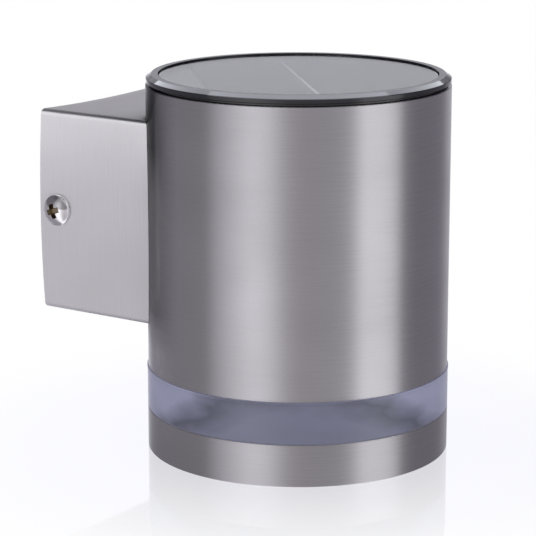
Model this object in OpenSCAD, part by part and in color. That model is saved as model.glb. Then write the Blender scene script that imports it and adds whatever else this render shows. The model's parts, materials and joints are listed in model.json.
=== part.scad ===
// Solar wall light: a round steel body on a short square arm, a frosted light band near the foot
// and a solar cap that lifts out of the top with the battery and the lamps.
// Millimetres, +Z up. The origin is on the body's axis, in the plane that it stands on, and the
// wall is towards +Y.

/* [Body tube] */
// Outside radius of the body tube
tube_r = 38; // [36:0.5:42]
// Sheet thickness of the body tube
tube_wall = 0.8; // [0.6:0.1:1.2]
// Height of the body tube
tube_h = 71.5; // [70:0.1:84]
// Wall of the plastic liner inside the tube
liner_wall = 1.5; // [1.2:0.1:2]
// Distance of the liner's top below the tube's upper edge
liner_drop = 6.6; // [6.2:0.1:9]

/* [Foot] */
// Height of the bottom ring
ring_h = 10.6; // [9:0.1:14]
// Wall of the bottom ring
ring_wall = 1; // [0.8:0.1:1.4]
// How far the bottom ring and the light band stand out past the tube
ring_proud = 0.2; // [0.1:0.05:0.8]
// Width of the lip inside the bottom ring
ring_lip_w = 1.75; // [1.2:0.05:2.2]
// Thickness of the lip inside the bottom ring
ring_lip_t = 0.8; // [0.6:0.1:1.2]
// Distance of the base plate above the plane that the light stands on
base_recess = 2; // [1.9:0.1:2.6]
// Thickness of the base plate
base_plate_t = 2; // [1.5:0.1:2.5]

/* [Light band] */
// Height of the band between the ring and the tube
band_h = 10.5; // [8:0.1:16]
// Wall of the diffuser in the band
band_wall = 2.5; // [2:0.1:3]
// How far the band's upper lip stands out past the band
band_lip_proud = 0.1; // [0.05:0.05:0.3]
// Height of the band's upper lip
band_lip_h = 0.5; // [0.3:0.1:1]
// Height of the collar that goes up into the tube
upper_collar_h = 7.9; // [7:0.1:10]
// Wall of the diffuser's collars
collar_wall = 2; // [1.8:0.1:2.4]
// Thickness of the flat seal under the band
lower_seal_t = 0.25; // [0.2:0.05:0.5]
// Wall of the reflector
reflector_wall = 1.2; // [1:0.1:1.6]
// Radius of the reflector's cone at its foot
reflector_r = 29; // [26:0.5:29.5]
// Height of the reflector's cone
reflector_h = 15; // [12:0.5:17]

/* [Arm] */
// Distance from the body's axis to the wall
wall_reach = 61.3; // [60:0.05:75]
// Width of the arm across its bends
arm_w = 53; // [48:0.5:56]
// Height of the arm
arm_h = 51.9; // [46:0.1:56]
// Distance of the arm's underside above the tube's lower edge
arm_rise = 11.1; // [10:0.1:14]
// Sheet thickness of the arm
arm_sheet = 1; // [0.8:0.1:1.2]
// Outside radius of the arm's bends
arm_bend_r = 1.5; // [1.4:0.1:2.5]
// How far each side face swells out at mid-height
side_swell = 0.95; // [0.2:0.05:1.5]
// How far the top and the underside are drawn in at the middle
top_sag = 0.6; // [0.1:0.05:1]

/* [Wall plate] */
// Sheet thickness of the wall plate
plate_t = 1.5; // [1.2:0.1:2]
// Length of the plate's ears, from the wall
ear_reach = 15.85; // [13:0.05:16]
// Height of the plate's ears
ear_h = 24; // [18:1:30]
// Distance between the two wall screw holes
wall_hole_spacing = 28; // [24:0.5:34]
// Diameter of the wall screw holes
wall_hole_d = 4.5; // [4:0.1:5.5]

/* [Screws] */
// Thread diameter of the side and arm screws
screw_d = 4; // [3.5:0.1:4.5]
// Head diameter of the side and arm screws
screw_head_d = 8; // [7.5:0.1:8.5]
// Head height of the side screws
screw_head_h = 2.7; // [2.2:0.1:3]
// Length of the side screws under the head
side_screw_l = 12; // [10:0.5:14]
// Distance of the side screws from the wall
side_screw_inset = 6.2; // [5:0.1:6.5]
// Height of the side screws above the arm's middle
side_screw_rise = 0.55; // [0:0.05:1]
// Height of the lower arm screw above the arm's underside
arm_screw_rise = 9; // [8:0.5:12]
// Distance between the two arm screws
arm_screw_spacing = 20; // [14:0.5:21]
// Thread diameter of the long tie screws
tie_screw_d = 3; // [2.5:0.1:3.5]

/* [Solar cap] */
// How far the cap's edge stays inside the tube's outline
cap_inset = 0.05; // [0.05:0.05:0.4]
// Height of the dark gap between the tube and the cap's edge
cap_gap = 0.7; // [0.5:0.1:1.2]
// Height of the cap's edge
cap_edge_h = 1.95; // [1.5:0.05:2.4]
// Height of the slope round the cap's upper edge
cap_slope_h = 0.9; // [0.3:0.1:1.2]
// Width of the slope round the cap's upper edge
cap_slope_w = 1.4; // [0.3:0.1:1.8]
// Width of the rim round the window
rim_w = 3.1; // [2.4:0.1:3.6]
// Depth of the window below the rim's edge
rim_depth = 0.4; // [0.1:0.05:0.6]
// Thickness of the window
window_t = 1; // [0.8:0.1:1.2]
// Thickness of the solar cell
cell_t = 0.5; // [0.4:0.1:0.8]
// Width of the bright collector strip across the cell
busbar_w = 1.15; // [0.8:0.05:2]
// Direction of the collector strip, seen from above
busbar_turn = 43.5; // [0:0.5:90]
// Distance of the collector strip from the cell's middle
busbar_shift = 0.35; // [-2:0.05:2]
// Wall of the cap's skirt
skirt_wall = 1.8; // [1.5:0.1:2.2]
// Depth of the tray's upper face below the tube's upper edge
module_depth = 22.6; // [22.5:0.1:25]
// Thickness of the tray
tray_t = 1.6; // [1.4:0.1:2]
// Thickness of the round seal on the cap
cap_seal_d = 1.7; // [1.4:0.1:1.8]
// Angle through which the cap turns to lock
lock_turn = 22; // [16:1:30]

/* [Battery and lamps] */
// Diameter of the battery
battery_d = 14.5; // [13.5:0.1:14.7]
// Length of the battery with its button
battery_l = 50.5; // [46:0.5:51]
// Distance of the battery behind the body's axis
battery_y = 9; // [8.6:0.1:9.4]
// Thickness of the circuit board
board_t = 1.6; // [1:0.1:1.8]
// Width of the circuit board
board_w = 38; // [36:1:40]
// Depth of the circuit board
board_l = 21; // [19:0.5:22]
// Diameter of a lamp's body
led_d = 5; // [4.5:0.1:5.4]
// Length of a lamp from its flange to its tip
led_l = 8.6; // [7:0.1:9.5]
// Travel of the switch knob
switch_travel = 2; // [1.5:0.1:2.5]

/* [Hidden] */

$fn = 96;

// One overrun serves every cut
overrun = 1;
// Clearance between pieces that are assembled or that move past each other
gap = 0.3;
// Clearance of a shaft in its own bore, and of faces that are screwed together
fit = 0.05;

// Heights of the stack from the foot to the cap
band_z = ring_h;
tube_z = band_z + band_h;
tube_top = tube_z + tube_h;
liner_z = tube_z + upper_collar_h + gap;
liner_top = tube_top - liner_drop;
base_top = base_recess + base_plate_t;
flange_z = tube_top + cap_gap;
cap_top = flange_z + cap_edge_h;
tray_top = tube_top - module_depth;
tray_z = tray_top - tray_t;

// Radii of the tube and of what lines it
tube_bore = tube_r - tube_wall;
liner_r = tube_bore - gap;
liner_bore = liner_r - liner_wall;

// Radii of the foot and the band
band_r = tube_r + ring_proud;
ring_bore = band_r - ring_wall;
lower_collar_r = ring_bore - gap;
upper_collar_r = tube_bore - gap;
upper_collar_bore = upper_collar_r - collar_wall;
lower_collar_bore = lower_collar_r - collar_wall;

// Round seal in the upper collar, a little smaller than the bore that it seals
upper_seal_d = 1.6;
seal_touch = 0.02;
upper_seal_r = tube_bore - seal_touch - upper_seal_d / 2;
upper_seal_z = tube_z + upper_collar_h / 2;
seal_groove_slack = 0.15;

// Long screws that hold the foot: their circle, heads and bosses
tie_angles = [30, 150, 270];
tie_head_d = 5.6;
tie_head_h = 1.6;
tie_boss_r = 3.2;
tie_boss_h = 15;
tie_bite = 9;
tie_ring_r = liner_bore - tie_boss_r - gap;
tie_hole_r = tie_screw_d / 2 + gap;
boss_rib_w = 2.4;

// Reflector
reflector_flange_r = lower_collar_bore - gap;
reflector_tip_r = 2.5;

// Arm: its section is drawn about its own middle
arm_z = tube_z + arm_rise;
arm_mid_z = arm_z + arm_h / 2;
arm_rear_gap = 0.2;
arm_rear_y = wall_reach - arm_rear_gap;
saddle_r = tube_r + fit;
saddle_out_r = saddle_r + arm_sheet;
arm_side_x = arm_w / 2 + side_swell;
arc_steps = 6;
bow_steps = 12;

// Screws of the arm and of its sides
hole_slack = 0.15;
screw_hole_r = screw_d / 2 + hole_slack;
cross_turn = 18;
cross_w_share = 0.13;
cross_l_share = 0.56;
cross_depth_share = 0.5;
head_edge_share = 0.3;
arm_head_h = 2.2;
arm_screw_l = 8.5;
arm_screw_z = [arm_z + arm_screw_rise, arm_z + arm_screw_rise + arm_screw_spacing];
spotface_depth = 0.15;
spotface_y = liner_bore + spotface_depth;
spotface_r = screw_head_d / 2 + gap;
nut_flats_share = 1.75;
nut_h_share = 0.8;
nut_flats = screw_d * nut_flats_share;
nut_h = screw_d * nut_h_share;
nut_corner_r = nut_flats / 2 / cos(30);
side_screw_y = wall_reach - side_screw_inset;
side_screw_z = arm_mid_z + side_screw_rise;

// Wall plate: it fits inside the arm and its slots are open towards the front
ear_x = arm_w / 2 - arm_sheet - gap;
plate_clear = 0.5;
plate_h = arm_h - 2 * (arm_sheet + top_sag + plate_clear);
plate_bend_r = 2.4;
ear_front_y = wall_reach - ear_reach;
slot_slack = 0.2;
slot_w = screw_d + 2 * slot_slack;
nut_gap = 0.2;

// Cap: flange, plug, seal and skirt
cap_r = tube_r - cap_inset;
cap_edge_chamfer = 0.15;
window_slack = 0.1;
recess_r = cap_r - rim_w;
window_r = recess_r - window_slack;
window_z = cap_top - rim_depth - window_t;
busbar_t = 0.1;
cell_z = window_z - busbar_t - cell_t;
window_ledge = 0.8;
cell_pocket_r = recess_r - window_ledge;
cell_r = cell_pocket_r - window_slack;
cell_flat_y = 24.5;
cap_floor_t = 1.5;
cap_floor_z = cell_z - cap_floor_t;
plug_r = tube_bore - gap;
cap_seat_gap = 0.2;
plug_z = liner_top + cap_seat_gap;
plug_wall = 3;
skirt_gap = 0.4;
skirt_r = liner_bore - skirt_gap;
skirt_bore = skirt_r - skirt_wall;
cap_groove_h = cap_seal_d + 2 * seal_groove_slack;
cap_groove_z = (plug_z + flange_z) / 2 - cap_groove_h / 2;
cap_seal_r = tube_bore - seal_touch - cap_seal_d / 2;
cap_groove_r = tube_bore - seal_touch - cap_seal_d - seal_groove_slack / 2;
busbar_reach_share = 0.72;

// Lugs on the skirt and their slots in the liner, for turning to lock
lug_angles = [0, 120, 240];
lug_half_turn = 6;
lug_slack_turn = 1.2;
lug_h = 2;
lug_depth = 5;
lug_z = liner_top - lug_depth - lug_h / 2;
lug_inset = 0.4;
lug_r = liner_r - lug_inset;

// Posts inside the cap for the tray's screws
post_angles = [90, 210, 330];
post_ring_share = 0.875;
post_ring_r = skirt_bore * post_ring_share;
post_r = 2.8;
small_screw_d = 2.4;
small_head_d = 4.4;
small_head_h = 1.5;
small_screw_l = 8;
tray_r = liner_bore - 2 * gap;

// Battery bay: the battery lies along X over the door
bay_gap = 0.4;
battery_rest = 0.5;
battery_r = battery_d / 2;
battery_z = tray_top + battery_rest + battery_r;
button_h = 1;
button_r = 2.75;
contact_t = 0.4;
contact_w = 9;
contact_h = 11;
spring_room = 5;
bay_half_l = (battery_l + spring_room) / 2 + contact_t;
battery_x = bay_half_l - contact_t - seal_touch;
bay_wall = 1.2;
bay_wall_h = 11;
bay_side_l = 46;
bay_end_w = 12;
bay_y = battery_y - battery_r - bay_gap;
bay_w = battery_d + 2 * bay_gap;
spring_wire_r = 0.4;
spring_big_r = 4.6;
spring_small_r = 2.6;
spring_turns = 4;
spring_steps = 16;

// Battery door and its pin
door_half_l = 24.6;
barrel_r = 1.3;
door_end_gap = 0.4;
door_edge_y = bay_y + gap;
hinge_y = bay_y + bay_w - barrel_r - gap;
hinge_z = tray_z + tray_t / 2;
pin_r = 0.6;
pin_fit = 0.02;
ear_boss_r = 1.7;
ear_boss_l = 2;
opening_half_l = door_half_l + door_end_gap;
door_barrel_l = 8;
tab_w = 9;
tab_t = 0.9;
tab_reach = 1.6;
tab_root = 2.4;

// Circuit board and what is on it
standoff_h = 3.7;
standoff_r = 1.9;
board_z = tray_top + standoff_h;
board_top = board_z + board_t;
board_y = -13.5;
board_corner_r = 1.5;
standoff_inset = 3;
standoff_x = board_w / 2 - standoff_inset;
standoff_y = board_l / 2 - standoff_inset;
led_x = 7;
led_y = -8;
led_flange_w = 0.4;
led_flange_r = led_d / 2 + led_flange_w;
led_flange_h = 1;
switch_y = -18.6;
switch_body = [8.5, 3.8, standoff_h - gap];
switch_slot = [5.4, 1.8, 2.2];
knob_w = 1.9;
knob_t = 1.4;
knob_drop = 1.6;
chip_size = [5, 4, 1.5];
chip_place = [-5, -15.5];
inductor_r = 2.2;
inductor_l = 8;
inductor_place = [7.5, -15.5];
wire_r = 0.6;
wire_hole_r = wire_r + hole_slack;
wire_edge_gap = 3.8;
cell_wire_x = [5, board_w / 2 - wire_edge_gap];
cell_wire_y = -12.5;
cell_wire_bow = 9;
wire_screw_gap = 4;
wire_rim_gap = 2.6;
battery_wire_end = [standoff_x - wire_screw_gap, board_y + board_l / 2 - wire_rim_gap];
battery_wire_bow = 7;
lead_stub = 0.5;
tube_sides = 8;
lead_steps = 12;
lead_side = [1, -1, 0];

// Points of an arc about a centre, both ends included
function arc_points(centre, r, from, to) = [
    for (i = [0 : arc_steps])
        let (a = from + (to - from) * i / arc_steps)
        centre + r * [cos(a), sin(a)]
];

// Points between p and q on a shallow bow that stands out by the given amount
function bow_points(p, q, bow) = [
    for (i = [1 : bow_steps - 1])
        let (t = i / bow_steps, run = q - p, out = [run[1], -run[0]] / norm(run))
        p + run * t + out * bow * 4 * t * (1 - t)
];

// Outline of the arm's section, drawn in by a distance from its outer face
function arm_outline(inset) =
    let (
        w = arm_w / 2 - inset,
        h = arm_h / 2 - inset,
        r = arm_bend_r - inset,
        x = w - r,
        z = h - r
    )
    concat(
        arc_points([x, -z], r, -90, 0), bow_points([w, -z], [w, z], side_swell),
        arc_points([x, z], r, 0, 90), bow_points([x, h], [-x, h], -top_sag),
        arc_points([-x, z], r, 90, 180), bow_points([-w, z], [-w, -z], side_swell),
        arc_points([-x, -z], r, 180, 270), bow_points([-x, -h], [x, -h], -top_sag)
    );

// A prism of the arm's section, from the body's axis to a distance behind it
module arm_prism(inset, to_y) {
    translate([0, to_y, arm_mid_z])
        rotate([90, 0, 0])
            linear_extrude(to_y)
                polygon(arm_outline(inset));
}

// A tube about Z
module pipe(r, bore, z, h) {
    translate([0, 0, z])
        difference() {
            cylinder(r = r, h = h);
            translate([0, 0, -overrun])
                cylinder(r = bore, h = h + 2 * overrun);
        }
}

// A part of a tube about Z, between two angles
module pipe_sector(r, bore, z, h, from, to) {
    rotate([0, 0, from])
        rotate_extrude(angle = to - from)
            translate([bore, z])
                square([r - bore, h]);
}

// A round ring about Z
module round_ring(r, d, z) {
    translate([0, 0, z])
        rotate_extrude()
            translate([r, 0])
                circle(d = d, $fn = 32);
}

// A cylinder along X, centred on its place
module bar_x(r, l) {
    rotate([0, 90, 0])
        cylinder(r = r, h = l, center = true);
}

// Holes along Y for the arm screws, through everything behind the axis
module arm_screw_holes(r) {
    for (z = arm_screw_z)
        translate([0, 0, z])
            rotate([-90, 0, 0])
                cylinder(r = r, h = wall_reach - plate_t - overrun);
}

// Pan-head screw along Z: the head's seat is at z = 0 and the thread runs down
module pan_screw(d, l, head_d, head_h) {
    edge = head_h * head_edge_share;
    rise = head_h - edge;
    dome = (head_d * head_d / 4 + rise * rise) / (2 * rise);
    difference() {
        union() {
            translate([0, 0, -l])
                cylinder(d = d, h = l + edge / 2);
            intersection() {
                cylinder(d = head_d, h = head_h);
                translate([0, 0, head_h - dome])
                    sphere(r = dome);
            }
        }
        for (turn = [0, 90])
            rotate([0, 0, cross_turn + turn])
                translate([0, 0, head_h])
                    cube(
                        [
                            head_d * cross_l_share,
                            head_d * cross_w_share,
                            2 * head_h * cross_depth_share
                        ],
                        center = true
                    );
    }
}

// Hexagon nut along Z, with its bore
module hex_nut() {
    difference() {
        cylinder(r = nut_corner_r, h = nut_h, $fn = 6);
        translate([0, 0, -overrun])
            cylinder(r = screw_d / 2 + fit, h = nut_h + 2 * overrun);
    }
}

// Point at a share of a smooth curve that leaves p0 towards p1 and reaches p3 from p2
function curve_point(p, t) =
    pow(1 - t, 3) * p[0] + 3 * pow(1 - t, 2) * t * p[1]
        + 3 * (1 - t) * t * t * p[2] + pow(t, 3) * p[3];

// Points of a tube's rings along a row of centres: no stretch may run along the given side
function tube_rings(centres, r, side) = [
    for (i = [0 : len(centres) - 1])
        let (
            run = centres[min(i + 1, len(centres) - 1)] - centres[max(i - 1, 0)],
            across = cross(run, side),
            u = across / norm(across),
            v = cross(run / norm(run), u)
        )
        for (k = [0 : tube_sides - 1])
            let (b = 360 * k / tube_sides)
            centres[i] + r * (cos(b) * u + sin(b) * v)
];

// Triangles of a tube with closed ends
function tube_faces(last) = concat(
    [[for (k = [0 : tube_sides - 1]) k]],
    [
        for (i = [0 : last - 1], k = [0 : tube_sides - 1])
            let (
                a = i * tube_sides + k,
                b = i * tube_sides + (k + 1) % tube_sides
            )
            each [[a, a + tube_sides, b], [b, a + tube_sides, b + tube_sides]]
    ],
    [[for (k = [tube_sides - 1 : -1 : 0]) last * tube_sides + k]]
);

// Round wire along a row of centres
module swept_wire(centres, r, side) {
    polyhedron(tube_rings(centres, r, side), tube_faces(len(centres) - 1), convexity = 10);
}

// Point a short straight stub away from one place towards another
function stub_end(from, to) = from + lead_stub * (to - from) / norm(to - from);

// A bent lead and its mirror image, along a curve of four places, with its ends square
module lead_pair(places) {
    bend = [stub_end(places[0], places[1]), places[1], places[2], stub_end(places[3], places[2])];
    centres = [
        places[0],
        for (i = [0 : lead_steps]) curve_point(bend, i / lead_steps),
        places[3]
    ];
    for (side = [0, 1])
        mirror([side, 0, 0])
            swept_wire(centres, wire_r, lead_side);
}

// Copies at each of a list of angles, at a radius
module around(angles, r) {
    for (a = angles)
        rotate([0, 0, a])
            translate([r, 0, 0])
                children();
}

// The plate that is screwed to the wall, with two slotted ears inside the arm
module wall_plate() {
    back = wall_reach;
    front = back - plate_t;
    color("lightsteelblue")
        difference() {
            union() {
                translate([-ear_x + plate_bend_r, front, arm_mid_z - plate_h / 2])
                    cube([2 * (ear_x - plate_bend_r), plate_t, plate_h]);
                translate([0, 0, arm_mid_z - ear_h / 2])
                    linear_extrude(ear_h)
                        difference() {
                            plate_outline(0);
                            plate_outline(plate_t);
                        }
            }
            for (side = [-1, 1])
                translate([0, 0, arm_mid_z + side * wall_hole_spacing / 2])
                    rotate([-90, 0, 0])
                        cylinder(d = wall_hole_d, h = back + overrun);
            for (side = [-1, 1])
                translate([side * ear_x, side_screw_y, side_screw_z])
                    bar_x(slot_w / 2, 2 * (plate_t + overrun));
            translate([-ear_x - overrun, ear_front_y - overrun, side_screw_z - slot_w / 2])
                cube([2 * (ear_x + overrun), side_screw_y - ear_front_y + overrun, slot_w]);
        }
}

// Outline of the bent plate seen from above, drawn in from its outer face, open at the front
module plate_outline(inset) {
    r = plate_bend_r - inset;
    x = ear_x - inset;
    y = wall_reach - inset;
    front = ear_front_y - (inset > 0 ? overrun : 0);
    translate([-x, front])
        square([2 * x, y - r - front]);
    translate([-x + r, front])
        square([2 * (x - r), y - front]);
    for (side = [-1, 1])
        translate([side * (x - r), y - r])
            circle(r = r);
}

// The bent steel arm, cut to the tube, with a curved saddle that the arm screws pull on
module arm_housing() {
    color("silver")
        difference() {
            union() {
                difference() {
                    arm_prism(0, arm_rear_y);
                    arm_prism(arm_sheet, arm_rear_y + overrun);
                }
                intersection() {
                    arm_prism(arm_sheet / 2, arm_rear_y);
                    cylinder(r = saddle_out_r, h = cap_top);
                }
            }
            cylinder(r = saddle_r, h = cap_top);
            arm_screw_holes(screw_hole_r);
            translate([0, side_screw_y, side_screw_z])
                bar_x(screw_hole_r, 2 * (arm_side_x + overrun));
        }
}

module arm_screws() {
    color("gainsboro")
        for (z = arm_screw_z)
            translate([0, spotface_y, z])
                rotate([90, 0, 0])
                    pan_screw(screw_d, arm_screw_l, screw_head_d, arm_head_h);
}

module arm_nuts() {
    color("gainsboro")
        for (z = arm_screw_z)
            translate([0, saddle_out_r + seal_touch, z])
                rotate([-90, 0, 0])
                    hex_nut();
}

module side_screws() {
    color("gainsboro")
        for (side = [-1, 1])
            translate([side * arm_side_x, side_screw_y, side_screw_z])
                rotate([0, side * 90, 0])
                    pan_screw(screw_d, side_screw_l, screw_head_d, screw_head_h);
}

module side_nuts() {
    color("gainsboro")
        for (side = [-1, 1])
            translate([side * (ear_x - plate_t - nut_gap), side_screw_y, side_screw_z])
                rotate([0, -side * 90, 0])
                    hex_nut();
}

module body_tube() {
    color("silver")
        difference() {
            pipe(tube_r, tube_bore, tube_z, tube_h);
            arm_screw_holes(screw_hole_r);
        }
}

// Plastic liner: bosses for the tie screws below, slots for the cap's lugs above
module inner_liner() {
    color("dimgray")
        difference() {
            union() {
                pipe(liner_r, liner_bore, liner_z, liner_top - liner_z);
                around(tie_angles, tie_ring_r) {
                    translate([0, 0, liner_z])
                        cylinder(r = tie_boss_r, h = tie_boss_h);
                    translate([0, -boss_rib_w / 2, liner_z])
                        cube([liner_bore - tie_ring_r + liner_wall / 2, boss_rib_w, tie_boss_h]);
                }
            }
            around(tie_angles, tie_ring_r)
                translate([0, 0, liner_z - overrun])
                    cylinder(r = tie_screw_d / 2 + pin_fit, h = tie_bite + gap + overrun);
            arm_screw_holes(screw_hole_r);
            for (z = arm_screw_z)
                translate([0, liner_bore - liner_wall, z])
                    rotate([-90, 0, 0])
                        cylinder(r = spotface_r, h = spotface_y - liner_bore + liner_wall);
            for (a = lug_angles) {
                entry = lug_half_turn + lug_slack_turn;
                low = lug_z - lug_h / 2 - gap;
                pipe_sector(
                    liner_r + overrun, liner_bore - overrun, lug_z, liner_top - lug_z + overrun,
                    a - entry, a + entry
                );
                pipe_sector(
                    liner_r + overrun, liner_bore - overrun, low, lug_h + 2 * gap,
                    a - entry - lock_turn, a + lug_half_turn + lug_slack_turn / 2
                );
            }
        }
}

module bottom_ring() {
    color("silver") {
        pipe(band_r, ring_bore, 0, ring_h);
        pipe(ring_bore + ring_wall / 2, ring_bore - ring_lip_w, base_top, ring_lip_t);
    }
}

module base_plate() {
    color("black")
        difference() {
            translate([0, 0, base_recess])
                cylinder(r = ring_bore - gap, h = base_plate_t);
            around(tie_angles, tie_ring_r)
                cylinder(r = tie_hole_r, h = base_top + overrun);
        }
}

module tie_screws() {
    color("gainsboro")
        around(tie_angles, tie_ring_r)
            translate([0, 0, base_recess])
                rotate([180, 0, 0])
                    pan_screw(tie_screw_d, liner_z + tie_bite - base_recess, tie_head_d, tie_head_h);
}

// Frosted ring with a collar in the tube above and a collar in the bottom ring below
module diffuser() {
    groove_bore = upper_seal_r - upper_seal_d / 2 - seal_groove_slack / 2;
    groove_h = upper_seal_d + 2 * seal_groove_slack;
    band_bottom = band_z + lower_seal_t;
    color("lavender")
        difference() {
            union() {
                pipe(band_r, band_r - band_wall, band_bottom, tube_z - band_bottom);
                pipe(
                    band_r + band_lip_proud, band_r - band_wall,
                    tube_z - band_lip_h, band_lip_h
                );
                pipe(
                    upper_collar_r, upper_collar_bore,
                    tube_z - band_wall / 2, upper_collar_h + band_wall / 2
                );
                pipe(
                    lower_collar_r, lower_collar_bore,
                    base_top + ring_lip_t + gap, band_bottom - base_top - ring_lip_t
                );
            }
            pipe(
                upper_collar_r + overrun, groove_bore,
                upper_seal_z - groove_h / 2, groove_h
            );
        }
}

module diffuser_upper_seal() {
    color("black")
        round_ring(upper_seal_r, upper_seal_d, upper_seal_z);
}

module diffuser_lower_seal() {
    color("black")
        pipe(band_r - gap, lower_collar_r + fit, band_z, lower_seal_t);
}

// White cone that turns the lamps' light out through the band
module reflector() {
    foot = base_top;
    top = foot + reflector_wall + reflector_h;
    color("white")
        difference() {
            union() {
                translate([0, 0, foot])
                    cylinder(r = reflector_flange_r, h = reflector_wall);
                translate([0, 0, foot + reflector_wall])
                    cylinder(r1 = reflector_r, r2 = reflector_tip_r, h = reflector_h);
            }
            translate([0, 0, foot - overrun])
                cylinder(
                    r1 = reflector_r - reflector_wall, r2 = 0,
                    h = top - foot - 2 * reflector_wall + overrun
                );
            around(tie_angles, tie_ring_r)
                cylinder(r = tie_hole_r, h = top);
        }
}

module cap_seal() {
    color("dimgray")
        round_ring(cap_seal_r, cap_seal_d, cap_groove_z + cap_groove_h / 2);
}

// Black cap: a dished rim, a plug with a seal groove, and a skirt with lugs and screw posts
module cap_shell() {
    color("#202024")
        difference() {
            union() {
                rotate_extrude()
                    polygon([
                        [0, cap_floor_z],
                        [plug_r - plug_wall, cap_floor_z],
                        [skirt_bore, plug_z],
                        [skirt_bore, tray_top],
                        [skirt_r, tray_top],
                        [skirt_r, plug_z],
                        [plug_r, plug_z],
                        [plug_r, cap_groove_z],
                        [cap_groove_r, cap_groove_z],
                        [cap_groove_r, cap_groove_z + cap_groove_h],
                        [plug_r, cap_groove_z + cap_groove_h],
                        [plug_r, flange_z],
                        [cap_r - cap_edge_chamfer, flange_z],
                        [cap_r, flange_z + cap_edge_chamfer],
                        [cap_r, cap_top - cap_slope_h],
                        [cap_r - cap_edge_chamfer, cap_top - cap_slope_h + cap_edge_chamfer],
                        [cap_r - cap_slope_w, cap_top],
                        [recess_r, cap_top],
                        [recess_r, cap_top - rim_depth],
                        [recess_r, window_z],
                        [cell_pocket_r, window_z],
                        [cell_pocket_r, cell_z],
                        [0, cell_z]
                    ]);
                for (a = lug_angles)
                    pipe_sector(
                        lug_r, skirt_r - skirt_wall / 2, lug_z - lug_h / 2, lug_h,
                        a - lug_half_turn, a + lug_half_turn
                    );
                around(post_angles, post_ring_r)
                    translate([0, 0, tray_top])
                        cylinder(r = post_r, h = cap_floor_z - tray_top + cap_floor_t / 2);
            }
            around(post_angles, post_ring_r)
                translate([0, 0, tray_top - overrun])
                    cylinder(r = small_screw_d / 2 + pin_fit, h = small_screw_l + overrun);
            for (side = [-1, 1])
                translate([side * cell_wire_x[0], cell_wire_y, cap_floor_z - overrun])
                    cylinder(r = wire_hole_r, h = cap_floor_t + 2 * overrun);
        }
}

module solar_window() {
    color("slategray")
        translate([0, 0, window_z])
            cylinder(r = window_r, h = window_t);
}

// Dark cell, round but for the flat side that runs along the collector strip
module solar_cell() {
    color("#3a3e48")
        translate([0, 0, cell_z])
            rotate([0, 0, busbar_turn])
                intersection() {
                    cylinder(r = cell_r, h = cell_t);
                    translate([-cell_r, -cell_r, 0])
                        cube([2 * cell_r, cell_r + cell_flat_y, cell_t]);
                }
}

module cell_busbar() {
    color("white")
        translate([0, 0, cell_z + cell_t])
            rotate([0, 0, busbar_turn])
                translate([-cell_r + busbar_w / 2, busbar_shift - busbar_w / 2, 0])
                    cube([cell_r * (1 + busbar_reach_share), busbar_w, busbar_t]);
}

module cell_wires() {
    color("firebrick")
        lead_pair([
            [cell_wire_x[0], cell_wire_y, cell_z],
            [cell_wire_x[0], cell_wire_y, cell_z - cell_wire_bow],
            [cell_wire_x[1], cell_wire_y, board_top + cell_wire_bow],
            [cell_wire_x[1], cell_wire_y, board_top]
        ]);
}

// Tray that closes the cap from below: bay walls, standoffs, lamp holes and the door's opening
module module_tray() {
    color("darkslategray")
        difference() {
            union() {
                translate([0, 0, tray_z])
                    cylinder(r = tray_r, h = tray_t);
                for (y = [bay_y - bay_wall, bay_y + bay_w])
                    translate([-bay_side_l / 2, y, tray_top - tray_t / 2])
                        cube([bay_side_l, bay_wall, bay_wall_h + tray_t / 2]);
                for (x = [-bay_half_l - bay_wall, bay_half_l])
                    translate([x, battery_y - bay_end_w / 2, tray_top - tray_t / 2])
                        cube([bay_wall, bay_end_w, bay_wall_h + tray_t / 2]);
                for (x = [-standoff_x, standoff_x], y = [-standoff_y, standoff_y])
                    translate([x, board_y + y, tray_top - tray_t / 2])
                        cylinder(r = standoff_r, h = standoff_h + tray_t / 2);
            }
            translate([-opening_half_l, bay_y, tray_z - overrun])
                cube([2 * opening_half_l, bay_w, tray_t + 2 * overrun]);
            for (side = [-1, 1]) {
                translate([side * led_x, led_y, tray_z - overrun])
                    cylinder(r = led_d / 2 + gap, h = tray_t + 2 * overrun);
                translate([side * standoff_x, board_y + side * standoff_y, tray_top])
                    cylinder(r = small_screw_d / 2 + pin_fit, h = standoff_h + overrun);
            }
            translate([-switch_slot[0] / 2, switch_y - switch_slot[1] / 2, tray_z - overrun])
                cube([switch_slot[0], switch_slot[1], tray_t + 2 * overrun]);
            around(post_angles, post_ring_r)
                translate([0, 0, tray_z - overrun])
                    cylinder(r = small_screw_d / 2 + hole_slack, h = tray_t + 2 * overrun);
            hinge_bore(pin_r + pin_fit);
        }
    color("darkslategray")
        difference() {
            for (side = [-1, 1])
                translate([side * (opening_half_l + ear_boss_l / 2), hinge_y, hinge_z])
                    bar_x(ear_boss_r, ear_boss_l);
            hinge_bore(pin_r + pin_fit);
        }
}

// The bore for the door's pin, right through
module hinge_bore(r) {
    translate([0, hinge_y, hinge_z])
        bar_x(r, 2 * (opening_half_l + ear_boss_l));
}

module tray_screws() {
    color("gainsboro")
        around(post_angles, post_ring_r)
            translate([0, 0, tray_z])
                rotate([180, 0, 0])
                    pan_screw(small_screw_d, small_screw_l, small_head_d, small_head_h);
}

module circuit_board() {
    color("seagreen")
        translate([0, board_y, board_z])
            difference() {
                linear_extrude(board_t) {
                    square([board_w, board_l - 2 * board_corner_r], center = true);
                    square([board_w - 2 * board_corner_r, board_l], center = true);
                    for (x = [-1, 1], y = [-1, 1])
                        translate([
                            x * (board_w / 2 - board_corner_r),
                            y * (board_l / 2 - board_corner_r)
                        ])
                            circle(r = board_corner_r);
                }
                for (side = [-1, 1])
                    translate([side * standoff_x, side * standoff_y, -overrun])
                        cylinder(r = small_screw_d / 2 + hole_slack, h = board_t + 2 * overrun);
            }
}

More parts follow.
